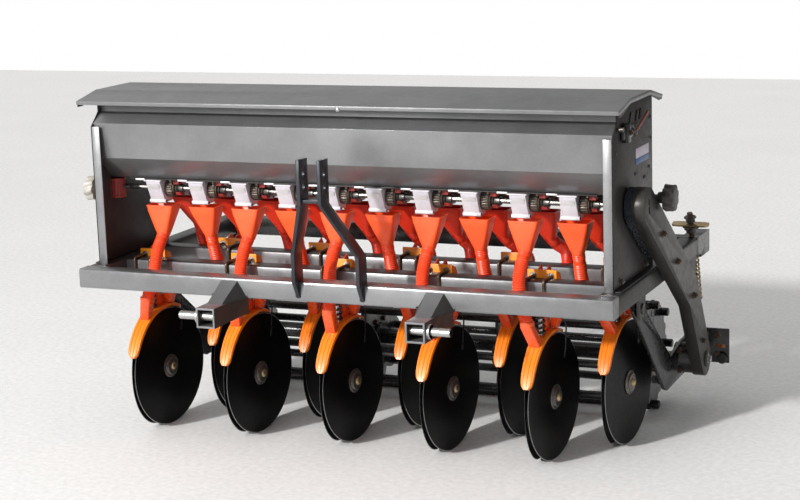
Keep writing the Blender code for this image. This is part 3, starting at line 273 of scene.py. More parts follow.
def smooth_path(points, count):
    """Points along one smooth curve through the given ones."""
    ends = [2 * Vector(points[0]) - Vector(points[1])] + [Vector(p) for p in points]
    ends.append(2 * Vector(points[-1]) - Vector(points[-2]))
    spans = len(points) - 1
    path = []
    for index in range(count + 1):
        place = min(index * spans / count, spans - 1e-9)
        k, t = int(place), place - int(place)
        a, b, c, d = ends[k:k + 4]
        path.append(0.5 * (2 * b + (c - a) * t + (2 * a - 5 * b + 4 * c - d) * t * t + (3 * b - a - 3 * c + d) * t ** 3))
    return path


def even(points, step):
    """The same line with its points one step apart."""
    result, left = [points[0]], step
    for a, b in zip(points, points[1:]):
        run = (b - a).length
        while left < run:
            result.append(a + (b - a) * left / run)
            left += step
        left -= run
    return result


def helix(start, end, radius, turns, per_turn=14):
    """A coil spring's line, with a flat turn at each end."""
    start, end = Vector(start), Vector(end)
    axis = end - start
    u = axis.orthogonal().normalized()
    v = axis.normalized().cross(u)
    count = int(turns * per_turn)
    points = []
    for i in range(count + 1):
        t = i / count
        share = min(max((t * turns - 0.8) / (turns - 1.6), 0), 1) * 0.94 + 0.03
        a = math.tau * turns * t
        points.append(start + axis * share + (u * math.cos(a) + v * math.sin(a)) * radius)
    return points


class Piece:
    """Closed bodies gathered in one mesh, each with one of the piece's materials."""

    def __init__(self, *materials):
        self.bm = bmesh.new()
        self.materials = materials

    def add(self, part, mat=0, place=None, edge=0.0, segments=2):
        if edge:
            soften(part, edge, segments)
        bmesh.ops.recalc_face_normals(part, faces=part.faces)
        for face in part.faces:
            face.material_index = mat
        data = bpy.data.meshes.new("body")
        part.to_mesh(data)
        part.free()
        if place is not None:
            data.transform(place)
        self.bm.from_mesh(data)
        bpy.data.meshes.remove(data)
        return self

    def prism(self, outline, low, high, mat=0, edge=0.0, axis=0, place=None, segments=2):
        part = bmesh.new()
        rings = []
        for t in (min(low, high), max(low, high)):
            rings.append([part.verts.new(((t, u, v), (u, t, v), (u, v, t))[axis]) for u, v in outline])
        skin(part, rings)
        return self.add(part, mat, place, edge, segments)

    def box(self, x, y, z, mat=0, edge=0.001, place=None, segments=2):
        (x0, x1), (y0, y1), (z0, z1) = sorted(x), sorted(y), sorted(z)
        return self.prism([(y0, z0), (y1, z0), (y1, z1), (y0, z1)], x0, x1, mat, edge, 0, place, segments)

    def lathe(self, outline, at, axis, steps=32, mat=0, loop=False, turn=0.0, edge=0.0):
        part = bmesh.new()
        rings = []
        for radius, height in outline:
            count = steps if radius > 1e-6 else 1
            rings.append([part.verts.new((u, v, height)) for u, v in circle(max(radius, 0), count, turn)])
        skin(part, rings, loop)
        place = Matrix.Translation(Vector(at)) @ Vector(axis).to_track_quat("Z", "Y").to_matrix().to_4x4()
        return self.add(part, mat, place, edge)

    def rod(self, start, end, radius, sides=16, mat=0, chamfer=0.0008, turn=0.0):
        start, end = Vector(start), Vector(end)
        length, c = (end - start).length, min(chamfer, radius * 0.4)
        outline = [(0, 0), (radius - c, 0), (radius, c), (radius, length - c), (radius - c, length),
            (0, length)]
        return self.lathe(outline, start, end - start, sides, mat, turn=turn)

    def tube(self, points, radii, sides=12, mat=0):
        """A round bar along a line, with one radius or one for each point."""
        part = bmesh.new()
        radii = radii if isinstance(radii, (list, tuple)) else [radii] * len(points)
        rings = [[part.verts.new(p + u * a + v * b) for a, b in circle(r, sides)] for (p, u, v),
            r in zip(moving_frames(points), radii)]
        skin(part, rings)
        return self.add(part, mat)

    def loft(self, rings, mat=0, edge=0.0):
        part = bmesh.new()
        skin(part, [[part.verts.new(p) for p in ring] for ring in rings])
        return self.add(part, mat, edge=edge)

    def nut(self, at, axis, across, height, mat=0, stud=0.0, washer=True):
        """A hexagon head or nut on its washer, with the bolt's end where there is one."""
        at, axis = Vector(at), Vector(axis).normalized()
        r = across / math.sqrt(3)
        base = 0.0
        if washer:
            base = 0.0012
            self.lathe([(0, 0), (r * 1.32, 0), (r * 1.32, base * 0.8), (r * 1.26, base), (0, base)], at, axis,
                20, mat)
        self.lathe([(0, 0), (r * 0.94, 0), (r, height * 0.08), (r, height * 0.86), (r * 0.88, height),
            (0, height)],
                   at + axis * base, axis, 6, mat)
        if stud:
            self.rod(at + axis * (base + height * 0.9), at + axis * (base + height + stud), across * 0.27, 12,
                mat, 0.0008)
        return self

    def done(self, name, body, slot, *nodes, smooth=34):
        data = bpy.data.meshes.new(name)
        self.bm.transform(Matrix.Translation((0, -ORIGIN_Y, 0)))
        self.bm.to_mesh(data)
        self.bm.free()
        data.shade_smooth()
        data.set_sharp_from_angle(angle=math.radians(smooth))
        for mat in self.materials:
            data.materials.append(mat)
        made = bpy.data.objects.new(name, data)
        bpy.context.scene.collection.objects.link(made)
        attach(made, body)
        if nodes:
            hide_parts(*nodes)
        return made


def row_x(row):
    return (row - (ROWS - 1) / 2) * ROW_PITCH


def row_y(row):
    return ROW_STAGGER * (row % 2)


def meter_x(row):
    return (row - (ROWS - 1) / 2) * METER_PITCH


def refined(node, body, slot, mat, edge):
    """The node's own shape with its flat faces made whole and its edges rounded."""
    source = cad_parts[node]
    part = bmesh.new()
    part.from_mesh(source.data)
    bmesh.ops.remove_doubles(part, verts=part.verts, dist=0.00002)
    bmesh.ops.recalc_face_normals(part, faces=part.faces)
    bmesh.ops.dissolve_limit(part, angle_limit=math.radians(0.6), verts=part.verts, edges=part.edges)
    part.transform(Matrix.Translation((0, ORIGIN_Y, 0)))
    piece = Piece(mat)
    piece.add(part, edge=edge)
    return piece.done(node + "_skin", body, slot, node)


# ---- frame ------------------------------------------------------------------------------------
def frame_pieces():
    # Painted shade: the side beams take the darker graphite for their shaded sides.
    for node, mat in (("rear_beam", BLACK), ("side_beam_left", PAINTED_SHADE_GRAPHITE), ("side_beam_right", PAINTED_SHADE_GRAPHITE)):
        refined(node, "frame", "graphite_paint", mat, 0.0016)
    for node in ("front_beam", "toolbar_front", "toolbar_rear"):
        beam = refined(node, "frame", "graphite_paint", GRAPHITE, 0.0016)
        beam.data.materials.append(PAINTED_SHADE_GRAPHITE)
        # Painted shade: the hitch stubs' and gussets' side faces take the darker graphite, and so do the toolbars'
        # tops, where it is a painted reflection of the hopper's dark underside.
        for face in beam.data.polygons:
            stub_side_painted_shade = face.center.y < BEAM_FACE - ORIGIN_Y - 0.002 and abs(face.normal.x) > 0.4
            if stub_side_painted_shade or node != "front_beam" and face.normal.z > 0.6:
                face.material_index = 1
    # Painted shade: the whole mast takes the darkened graphite of its shaded sides.
    refined("hitch_mast", "frame", "graphite_paint", MAST_PAINTED_SHADE, 0.0012)
    trim = Piece(ZINC, BRONZE, GRAPHITE)
    for side in (-1, 1):
        pin_y, pin_z = HITCH_PIN
        face = side * (STUB_X + TUBE / 2)
        trim.lathe([(0, 0), (0.0098, 0), (0.0112, 0.002), (0.0112, 0.0605), (0.0085, 0.0625), (0, 0.0625)],
            (face, pin_y, pin_z), (side, 0, 0), 28)
        trim.lathe([(0.0111, 0.009), (0.0111, 0.0), (0.0200, 0.0), (0.0200, 0.008), (0.0190, 0.009)],
            (face, pin_y, pin_z), (side, 0, 0), 28, loop=True)
        trim.rod((face + side * 0.050, pin_y, pin_z - 0.0125), (face + side * 0.050, pin_y, pin_z + 0.0125),
            0.0022, 10, 1)
        trim.rod((side * STUB_X - 0.0222, pin_y, pin_z), (side * STUB_X + 0.0222, pin_y, pin_z), 0.0118, 24)
    for x in (-0.46, -0.16, 0.16, 0.46):
        trim.box((x - 0.0015, x + 0.0015), (BEAM_FACE + 0.0002, BEAM_FACE + 0.0006),
            (FRAME_UNDER + 0.006, FRAME_TOP - 0.006), 2, 0)
    trim.done("hitch_pins", "frame", "zinc")


def mast_trim():
    weld = Piece(DARK_GRAPHITE_AND_PAINTED_SHADE)
    for side in (-1, 1):
        x = side * 0.095
        for dx in (-0.0058, 0.0058):
            weld.tube([Vector((x + dx, y, FRAME_TOP + 0.0018)) for y in (-0.268, -0.260, -0.252, -0.247)],
                0.0022, 8)
            weld.tube([Vector((x + dx, BEAM_FACE - 0.001, z))
                for z in (FRAME_TOP - 0.002, FRAME_TOP - 0.015, FRAME_TOP - 0.03, FRAME_TOP - 0.042)], 0.002,
                8)
        g = side * STUB_X
        for dx in (-0.026, 0.026):
            weld.tube([Vector((g + dx * 2.05, BEAM_FACE - 0.002, z))
                for z in (FRAME_UNDER + 0.004, FRAME_UNDER + 0.008)], 0.002, 8)
    weld.done("mast_welds", "frame", "graphite_paint")


# ---- hopper, lid and end panels ------------------------------------------------------------------
def lid_under(y):
    rise = 0.021 / 0.107
    fall = 0.025 / 0.116
    return 1.004 - max(0, (-0.088 - y) * rise, (y - 0.098) * fall) - 0.0029


def hopper_pieces():
    refined("hopper", "frame", "graphite_paint", GRAPHITE, 0.0014)
    refined("hopper_lid", "lid", "graphite_paint", GRAPHITE, 0.0011)
    lid = Piece(ZINC, DARK_GRAPHITE_AND_PAINTED_SHADE)
    lid.lathe([(0, 0), (0.0062, 0), (0.0058, 0.002), (0.0035, 0.0036), (0, 0.0040)], (0.020, -0.1948, 0.9745),
        (0, -1, 0), 20)
    for side in (-1, 1):
        x = side * 0.7915
        outline = [(-0.192, 0.9665), (-0.192, 0.9815), (-0.088, 1.0018), (0.098, 1.0018), (0.211, 0.9775),
            (0.211, 0.9665), (0.180, 0.9665),
                   (0.098, 0.9895), (-0.088, 0.9895), (-0.165, 0.9665)]
        lid.prism(outline, x - 0.0006, x + 0.0006, 1, 0.0003)
        for y in (-0.075, -0.055):
            lid.lathe([(0, 0), (0.0042, 0), (0.0038, 0.0012), (0.002, 0.0018), (0, 0.0019)],
                (side * 0.745, y, 1.0019), (0, 0, 1), 14, 0)
    lid.done("lid_trim", "lid", "graphite_paint")


def end_outline():
    """An end panel's outline in (y, z), just under the lid."""
    neck = -0.127
    foot = FRAME_TOP + GAP
    return [(PLATE_FRONT, foot), (PLATE_FRONT, PLATE_SHOULDER), (neck, 0.946), (neck, lid_under(neck)),
            (-0.088, lid_under(-0.088)), (0.098, lid_under(0.098)), (PLATE_REAR, lid_under(PLATE_REAR)),
            (PLATE_REAR, foot)]


def end_pieces():
    for word, side, place in (("left", -1, (-0.045, 0.709)), ("right", 1, (0.073, 0.722))):
        inner, outer = side * PLATE_INNER, side * (PLATE_INNER + PLATE_THICK)
        panel = Piece(DARK_GRAPHITE_AND_PAINTED_SHADE, SHAFT, RUBBER, BRONZE, GRAPHITE)
        # Painted shade: the panel and its rear flange take the near-black graphite for the shaded sides, while the
        # front flange keeps the lighter graphite as the lit face.
        panel.prism(end_outline(), inner, outer, 0, 0.0008)
        panel.box((outer - side * 0.0002, outer - side * 0.027), (PLATE_FRONT, PLATE_FRONT + 0.0035),
            (FRAME_TOP + GAP, PLATE_SHOULDER), 4, 0.0012)
        panel.box((outer - side * 0.0004, outer - side * 0.018), (PLATE_REAR - 0.0035, PLATE_REAR),
            (FRAME_TOP + GAP, 0.966), 0, 0.0012)
        panel.box((inner, side * (PLATE_INNER + 0.020)), (PLATE_FRONT + 0.004, PLATE_REAR - 0.004),
            (FRAME_TOP + GAP, FRAME_TOP + 0.0035), 0, 0.0008)
        for y in (-0.110, 0.120):
            panel.nut((outer - side * 0.0002, y, FRAME_TOP + 0.020), (side, 0, 0), 0.013, 0.007, 1, 0.003)
        for y, z in ((-0.141, 0.868), (0.182, 0.922), (0.185, 0.866), (0.165, 0.790)):
            panel.lathe([(0, 0), (0.0048, 0), (0.0044, 0.0016), (0.0022, 0.0027), (0, 0.0029)],
                (outer - side * 0.0001, y, z), (side, 0, 0), 16, 3)
        for y, z, w in ((0.034, 0.790, 0.016), (0.120, 0.769, 0.020)):
            panel.box((outer - side * 0.0001, outer + side * 0.0012), (y - w / 2, y + w / 2),
                (z - 0.004, z + 0.004), 2, 0.0005)
        panel.done("end_panel_" + word, "frame", "graphite_paint", "end_plate_" + word)
        knob = Piece(KNOB if side > 0 else KNOB_LIGHT, BRONZE)
        face = side * (HALF_SPAN - 0.030)
        knob.rod((outer - side * 0.001, *place), (face + side * 0.002, *place), 0.0085, 20, 0)
        knob.nut((outer, *place), (side, 0, 0), 0.026, 0.011, 1)
        knob.lathe([(0, -0.020), (0.0135, -0.020), (0.0150, -0.018), (0.0165, 0.0), (0.0, 0.0)],
            (face + side * 0.003, *place), (side, 0, 0), 28, 0)
        rings = []
        for share, inset in ((0.0, 0.004), (0.03, 0.0015), (0.12, 0.0), (0.5, 0.0), (0.86, 0.0),
                (0.96, 0.0018), (1.0, 0.0045)):
            outline = lobed(8, KNOB_R - inset, KNOB_R - inset - 0.0055, 96, place, 0.34 * share)
            rings.append([(face + side * 0.030 * share, u, v) for u, v in outline])
        knob.loft(rings)
        knob.done("rate_knob_" + word, "frame", "graphite_paint")
    face = PLATE_INNER + PLATE_THICK
    label = Piece(LABEL_TOP, LABEL_LOW)
    label.box((face, face + 0.0005), (0.039, 0.160), (0.8285, 0.8545), 0, 0.0001)
    label.box((face, face + 0.0005), (0.039, 0.160), (0.812, 0.8283), 1, 0.0001)
    label.done("end_label", "frame", "graphite_paint")
    catch = Piece(BLACK, SHAFT, SEALANT, RUBBER, BRONZE)
    catch.box((face, face + 0.012), (-0.105, -0.012), (0.897, 0.930), 0, 0.003)
    catch.box((face, face + 0.018), (-0.088, -0.060), (0.888, 0.938), 0, 0.003)
    catch.rod((face + 0.004, -0.1235, 0.9275), (face + 0.016, -0.1235, 0.9275), 0.0065, 16, 1)
    catch.nut((face + 0.017, -0.074, 0.914), (1, 0, 0), 0.013, 0.006, 4, 0.003)
    catch.nut((face + 0.012, -0.030, 0.914), (1, 0, 0), 0.011, 0.005, 1, 0.003)
    catch.rod((face + 0.009, 0.004, 0.902), (face + 0.009, 0.124, 0.944), 0.0036, 14, 2)
    catch.lathe([(0, 0), (0.0065, 0.001), (0.0065, 0.010), (0, 0.011)], (face + 0.009, -0.004, 0.8995),
        (0, 0.94, 0.33), 16, 1)
    for y in (-0.022, 0.034, 0.066):
        catch.prism([(y, 0.930), (y + 0.016, 0.930), (y + 0.030, 0.957), (y + 0.012, 0.957)], face - 0.0002,
            face + 0.003, 3, 0.0008)
    catch.done("lid_catch", "frame", "graphite_paint")


# ---- metering --------------------------------------------------------------------------------
def meter_pieces():
    top = HOPPER_FLOOR - GAP
    base = Piece(DARK_GRAPHITE_AND_PAINTED_SHADE, BRONZE, STRIP)
    base.box((-0.700, 0.700), (-0.086, 0.131), (top - 0.004, top), 0, 0.0008)
    for row in range(ROWS):
        left = meter_x(row) - METER_HALF
        base.box((left - 0.036, left - 0.006), (-0.0885, -0.0845), (top - 0.0055, top - 0.0005), 2, 0.0006)
        for dx in (-0.034, 0.052):
            for y in (-0.079, 0.022, 0.124):
                base.nut((meter_x(row) + dx, y, top - 0.004), (0, 0, -1), 0.008, 0.004, 1)
    base.done("meter_base", "frame", "cast_alloy", "meter_bank")
    seat = top - 0.0035
    for row in range(ROWS):
        x = meter_x(row)
        for kind, y0 in (("seed", SHAFT_Y), ("fertiliser", FERT_Y)):
            meter = Piece(ALLOY, CUP, SHAFT, DARK_RED, STRIP, RUBBER)
            low, high = x - METER_HALF, x + METER_HALF
            front = y0 - 0.050
            outline = [(front, seat), (front + 0.004, seat - 0.012), (front + 0.026, METER_BOTTOM - 0.002),
                (front + 0.030, METER_BOTTOM - 0.010),
                       (y0 + 0.020, METER_BOTTOM - 0.010), (y0 + 0.026, seat - 0.010), (y0 + 0.026, seat)]
            meter.prism(outline, low, high, 0, 0.0022, segments=3)
            meter.box((low - 0.004, high + 0.004), (front - 0.002, front + 0.012),
                (seat - 0.0035, seat - 0.0002), 0, 0.0008)
            meter.prism([(front + 0.0025, seat - 0.014), (front + 0.0235, METER_BOTTOM + 0.014),
                (front + 0.0225, METER_BOTTOM + 0.014),
                         (front + 0.0015, seat - 0.014)], low + 0.005, high - 0.005, 4, 0.0004)
            foot_y, foot_z = front + 0.030, METER_BOTTOM - 0.0060
            meter.lathe([(0, 0), (0.0058, 0), (0.0066, 0.0012), (0.0066, 0.0508), (0.0058, 0.052),
                (0, 0.052)], (low - 0.003, foot_y, foot_z), (1, 0, 0), 20, 0)
            meter.lathe([(0, 0), (0.0032, 0), (0.0032, 0.0008), (0, 0.0008)], (high + 0.0031, foot_y, foot_z),
                (1, 0, 0), 14, 5)
            meter.box((low + 0.006, high - 0.006), (foot_y - 0.0072, foot_y - 0.0058),
                (foot_z - 0.0036, foot_z + 0.0036), 4, 0.0005)
            meter.prism(lobed(20, 0.0262, 0.0240, 120, (y0, SHAFT_Z)), high + 0.0006, high + 0.024, 1, 0.0006)
            meter.lathe([(0, 0), (0.0225, 0), (0.0215, 0.004), (0.014, 0.0065), (0.013, 0.0095), (0, 0.0095)],
                (high + 0.0235, y0, SHAFT_Z), (1, 0, 0), 28, 1)
            if kind == "seed":
                meter.lathe([(SHAFT_R + 0.0006, 0.002), (SHAFT_R + 0.0006, 0.018), (0.0122, 0.018),
                    (0.0122, 0.004), (0.0112, 0.002)],
                            (high + 0.0335, y0, SHAFT_Z), (1, 0, 0), 24, 2, loop=True)
            else:
                meter.rod((high + 0.0330, y0, SHAFT_Z), (high + 0.091, y0, SHAFT_Z), 0.0075, 16, 2)
                meter.lathe([(0.0078, 0), (0.0078, 0.014), (0.0118, 0.014), (0.0118, 0.0)],
                    (high + 0.040, y0, SHAFT_Z), (1, 0, 0), 20, 2, loop=True)
            meter.box((high + 0.0300, high + 0.0480), (y0 - 0.024, y0 - 0.006),
                (SHAFT_Z + 0.014, seat - 0.001), 3, 0.0015)
            meter.prism([(y0 - 0.022, SHAFT_Z - 0.008), (y0 - 0.016, SHAFT_Z - 0.018),
                (y0 + 0.004, SHAFT_Z - 0.020), (y0 + 0.004, SHAFT_Z - 0.013)],
                        high + 0.034, high + 0.050, 3, 0.001)
            meter.done("%s_meter_%02d" % (kind, row + 1), "frame", "cast_alloy")
    gauge = Piece(DARK_RED, SHAFT)
    at = Vector((-0.757, SHAFT_Y - 0.020, 0.690))
    gauge.lathe([(0, 0), (0.0235, 0), (0.0255, 0.003), (0.0255, 0.006), (0.0235, 0.008), (0.0235, 0.050),
        (0.0265, 0.052), (0.0265, 0.0565), (0, 0.0575)],
                at, (0, 0, 1), 40)
    for i in range(20):
        a = math.tau * i / 20
        rib = at + Vector((math.cos(a) * 0.0236, math.sin(a) * 0.0236, 0))
        gauge.rod(rib + Vector((0, 0, 0.007)), rib + Vector((0, 0, 0.052)), 0.0017, 8)
    gauge.rod(at + Vector((0.020, 0, 0.030)), at + Vector((0.046, 0, 0.030)), 0.0065, 20, 1)
    gauge.done("rate_gauge", "frame", "cast_alloy")
    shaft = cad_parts["metering_shaft"]
    shaft.data.materials.clear()
    shaft.data.materials.append(SHAFT)


# ---- funnels and hoses -----------------------------------------------------------------------------
def seed_lean(row):
    return SEED_LEAN if row % 2 else -0.4 * SEED_LEAN


def seed_route(row):
    x, y0 = row_x(row), row_y(row)
    top_x = meter_x(row) + FUNNEL_SHIFT
    foot_x = x + 0.4 * (top_x - x)
    drop_y = y0 - TOOLBAR_LEAD - TUBE / 2 - UBOLT_ROOM - HOSE_R - HOSE_ROOM
    start = (top_x, SHAFT_Y - 0.006 + seed_lean(row), FUNNEL_NECK + 0.004)
    foot = (foot_x, drop_y + 0.002, MOUTH_Z - 0.004)
    if row % 2:
        near_y = -TOOLBAR_LEAD + TUBE / 2 + HOSE_R + HOSE_ROOM
        return [start, (top_x, 0.5 * (start[1] + near_y), FRAME_TOP + 0.036),
            (top_x, near_y + 0.006, FRAME_TOP - 0.010),
                (0.7 * top_x + 0.3 * foot_x, 0.4 * near_y + 0.6 * drop_y, FRAME_UNDER), foot]
    return [start, (top_x, 0.4 * start[1] + 0.6 * drop_y, FRAME_TOP + 0.044),
        (top_x, drop_y - 0.001, FRAME_TOP + 0.002),
            (0.7 * top_x + 0.3 * foot_x, drop_y - 0.004, FRAME_UNDER), foot]


def fertiliser_route(row):
    x, y0 = row_x(row), row_y(row)
    top_x = meter_x(row) + FUNNEL_SHIFT
    foot_x = x + SOCKET_SIDE
    bar_back = ROW_STAGGER - TOOLBAR_LEAD + TUBE / 2
    foot = (foot_x, y0 + 0.013, MOUTH_Z - 0.004)
    start = (top_x, FERT_Y + FERT_LEAN, FUNNEL_NECK + 0.004)
    crest = (0.8 * top_x + 0.2 * foot_x, start[1] + 0.026, FUNNEL_NECK - 0.022)
    middle = 0.5 * (top_x + foot_x)
    if row % 2:
        return [start, crest, (0.4 * top_x + 0.6 * foot_x, bar_back + 0.030, FRAME_TOP + 0.027),
                (foot_x, bar_back + 0.046, FRAME_TOP - 0.004), (foot_x, bar_back + 0.048, FRAME_UNDER), foot]
    return [start, crest, (middle, bar_back + 0.020, FRAME_TOP + 0.028),
        (middle, bar_back + 0.033, FRAME_TOP - 0.018),
            (middle, bar_back + 0.024, FRAME_UNDER - 0.012),
            (0.3 * top_x + 0.7 * foot_x, bar_back - 0.046, FRAME_UNDER - 0.034),
            (foot_x, 0.4 * bar_back, FRAME_UNDER - 0.036), foot]


def fender_point(y0, corner, above=0.0):
    turn = math.radians(FENDER_FROM + corner * FENDER_STEP)
    return (y0 + (FENDER_OUT + above) * math.cos(turn), DISC_R + (FENDER_OUT + above) * math.sin(turn))


def funnel(piece, x, y, lean, mat):
    """A moulded funnel: square mouth with a rolled lip and an inside wall, tapering to the hose's neck."""
    count = 40

    def ring(z, hx, hy, power):
        back = lean * (FUNNEL_TOP - z) / (FUNNEL_TOP - FUNNEL_NECK)
        return [(x + u, y + back + v, z) for u, v in rounded_box(hx, hy, power, count)]

    rings = [ring(FUNNEL_TOP - 0.045, FUNNEL_HALF_X - 0.026, FUNNEL_HALF_Y - 0.012, 5),
        ring(FUNNEL_TOP - 0.012, FUNNEL_HALF_X - 0.0035, FUNNEL_HALF_Y - 0.0035, 8),
             ring(FUNNEL_TOP, FUNNEL_HALF_X - 0.0025, FUNNEL_HALF_Y - 0.0025, 9),
             ring(FUNNEL_TOP, FUNNEL_HALF_X, FUNNEL_HALF_Y, 9),
             ring(FUNNEL_TOP - 0.005, FUNNEL_HALF_X, FUNNEL_HALF_Y, 9),
             ring(FUNNEL_TOP - 0.006, FUNNEL_HALF_X - 0.0015, FUNNEL_HALF_Y - 0.0015, 9),
             ring(FUNNEL_TOP - 0.016, FUNNEL_HALF_X - 0.003, FUNNEL_HALF_Y - 0.0015, 8)]
    for t in (0.2, 0.4, 0.6, 0.8, 0.95, 1.0):
        z = FUNNEL_TOP - 0.016 + (FUNNEL_NECK - FUNNEL_TOP + 0.016) * t
        rings.append(ring(z, FUNNEL_HALF_X - 0.003 + (HOSE_R * 0.99 - FUNNEL_HALF_X + 0.003) * t,
                          FUNNEL_HALF_Y - 0.0015 + (HOSE_R * 0.99 - FUNNEL_HALF_Y + 0.0015) * t, 8 - 5.6 * t))
    rings.append([(x + u, y + lean * 1.02 + v, FUNNEL_NECK - 0.004) for u, v in circle(HOSE_R * 0.96, count)])
    piece.loft(rings, mat)


def ribbed(piece, route, mat, pitch=0.0058):
    """A corrugated hose with a plain cuff at its top."""
    path = even(smooth_path(route, 160), pitch / 4)
    radii = []
    for i in range(len(path)):
        depth = (0.0026, 0.0009, 0.0, 0.0009)[i % 4]
        plain = 16 < i < 26 or i > len(path) - 8
        radii.append(HOSE_R - (0.0012 if plain else depth))
    piece.tube(path, radii, 16, mat)


def hose_pieces():
    for row in range(ROWS):
        x, y0 = row_x(row), row_y(row)
        seed, fertiliser = seed_route(row), fertiliser_route(row)
        line = Piece(FUNNEL, HOSE)
        funnel(line, seed[0][0], SHAFT_Y - 0.006, seed_lean(row), 0)
        ribbed(line, seed, 1)
        line.done("seed_line_%02d" % (row + 1), "frame", "orange_plastic", "delivery_tubes_%02d" % (row + 1))
        back = Piece(HOSE_DARK)
        funnel(back, fertiliser[0][0], FERT_Y, FERT_LEAN, 0)
        ribbed(back, fertiliser, 0)
        back.done("fertiliser_line_%02d" % (row + 1), "frame", "orange_plastic")
        boot = Piece(RED_ORANGE)
        a, b = fender_point(y0, 4, 0.0003), fender_point(y0, 5, 0.0003)
        spout(boot, (seed[-1][0], seed[-1][1]), (0.0192, 0.0192), (x - 0.0150, x + 0.0150), a, b)
        a, b = fender_point(y0, 1, 0.0033), fender_point(y0, 2, 0.0033)
        spout(boot, (fertiliser[-1][0], fertiliser[-1][1]), (0.0190, 0.0190), (x + 0.0085, x + 0.0215), a, b)
        boot.done("fender_spouts_%02d" % (row + 1), "frame", "orange_paint")


def spout(piece, top, mouth, across, a, b):
    """A flat tube from the hose's end down to the fender between two of its points."""
    count = 32
    middle = Vector(((across[0] + across[1]) / 2, (a[0] + b[0]) / 2, (a[1] + b[1]) / 2))
    along = Vector((0, a[0] - b[0], a[1] - b[1]))
    half_u, half_v = (across[1] - across[0]) / 2, min(along.length / 2, 0.0150)
    along.normalize()
    foot = [middle + Vector((u, 0, 0)) + along * v for u, v in rounded_box(half_u, half_v, 9, count)]

    def level(z, grow, power):
        return [Vector((top[0] + u, top[1] + v, MOUTH_Z + z)) for u,
            v in rounded_box(mouth[0] * grow, mouth[1] * grow, power, count)]

    collar = level(-0.014, 0.88, 5.0)
    rings = [level(0.0015, 0.93, 2.2), level(0.0003, 1.0, 2.2), level(-0.008, 1.0, 2.6),
        level(-0.010, 0.90, 3.2), collar]
    rings += [[p.lerp(q, t) for p, q in zip(collar, foot)] for t in (0.12, 0.35, 0.6, 0.8, 1.0)]
    piece.loft(rings, 0)


# ---- openers ------------------------------------------------------------------------------------
def fender_section(width):
    """The fender's cross-section as (across, radius): three ridges outside, a turned-down edge each side."""
    w, r0, r1, ridge = width, FENDER_IN, FENDER_OUT, FENDER_OUT + 0.0013
    share = w / FENDER_HALF
    top = [(-w, r1 - 0.003), (-w + 0.0012, r1 - 0.0006)]
    for centre in (-0.0145, 0.0, 0.0145):
        c = centre * share
        top += [(c - 0.0022, r1), (c - 0.0009, ridge), (c + 0.0009, ridge), (c + 0.0022, r1)]
    top += [(w - 0.0012, r1 - 0.0006), (w, r1 - 0.003)]
    return top + [(w, r0 - 0.0045), (w - 0.0022, r0 - 0.0045), (w - 0.0022, r0), (-w + 0.0022, r0),
        (-w + 0.0022, r0 - 0.0045), (-w, r0 - 0.0045)]


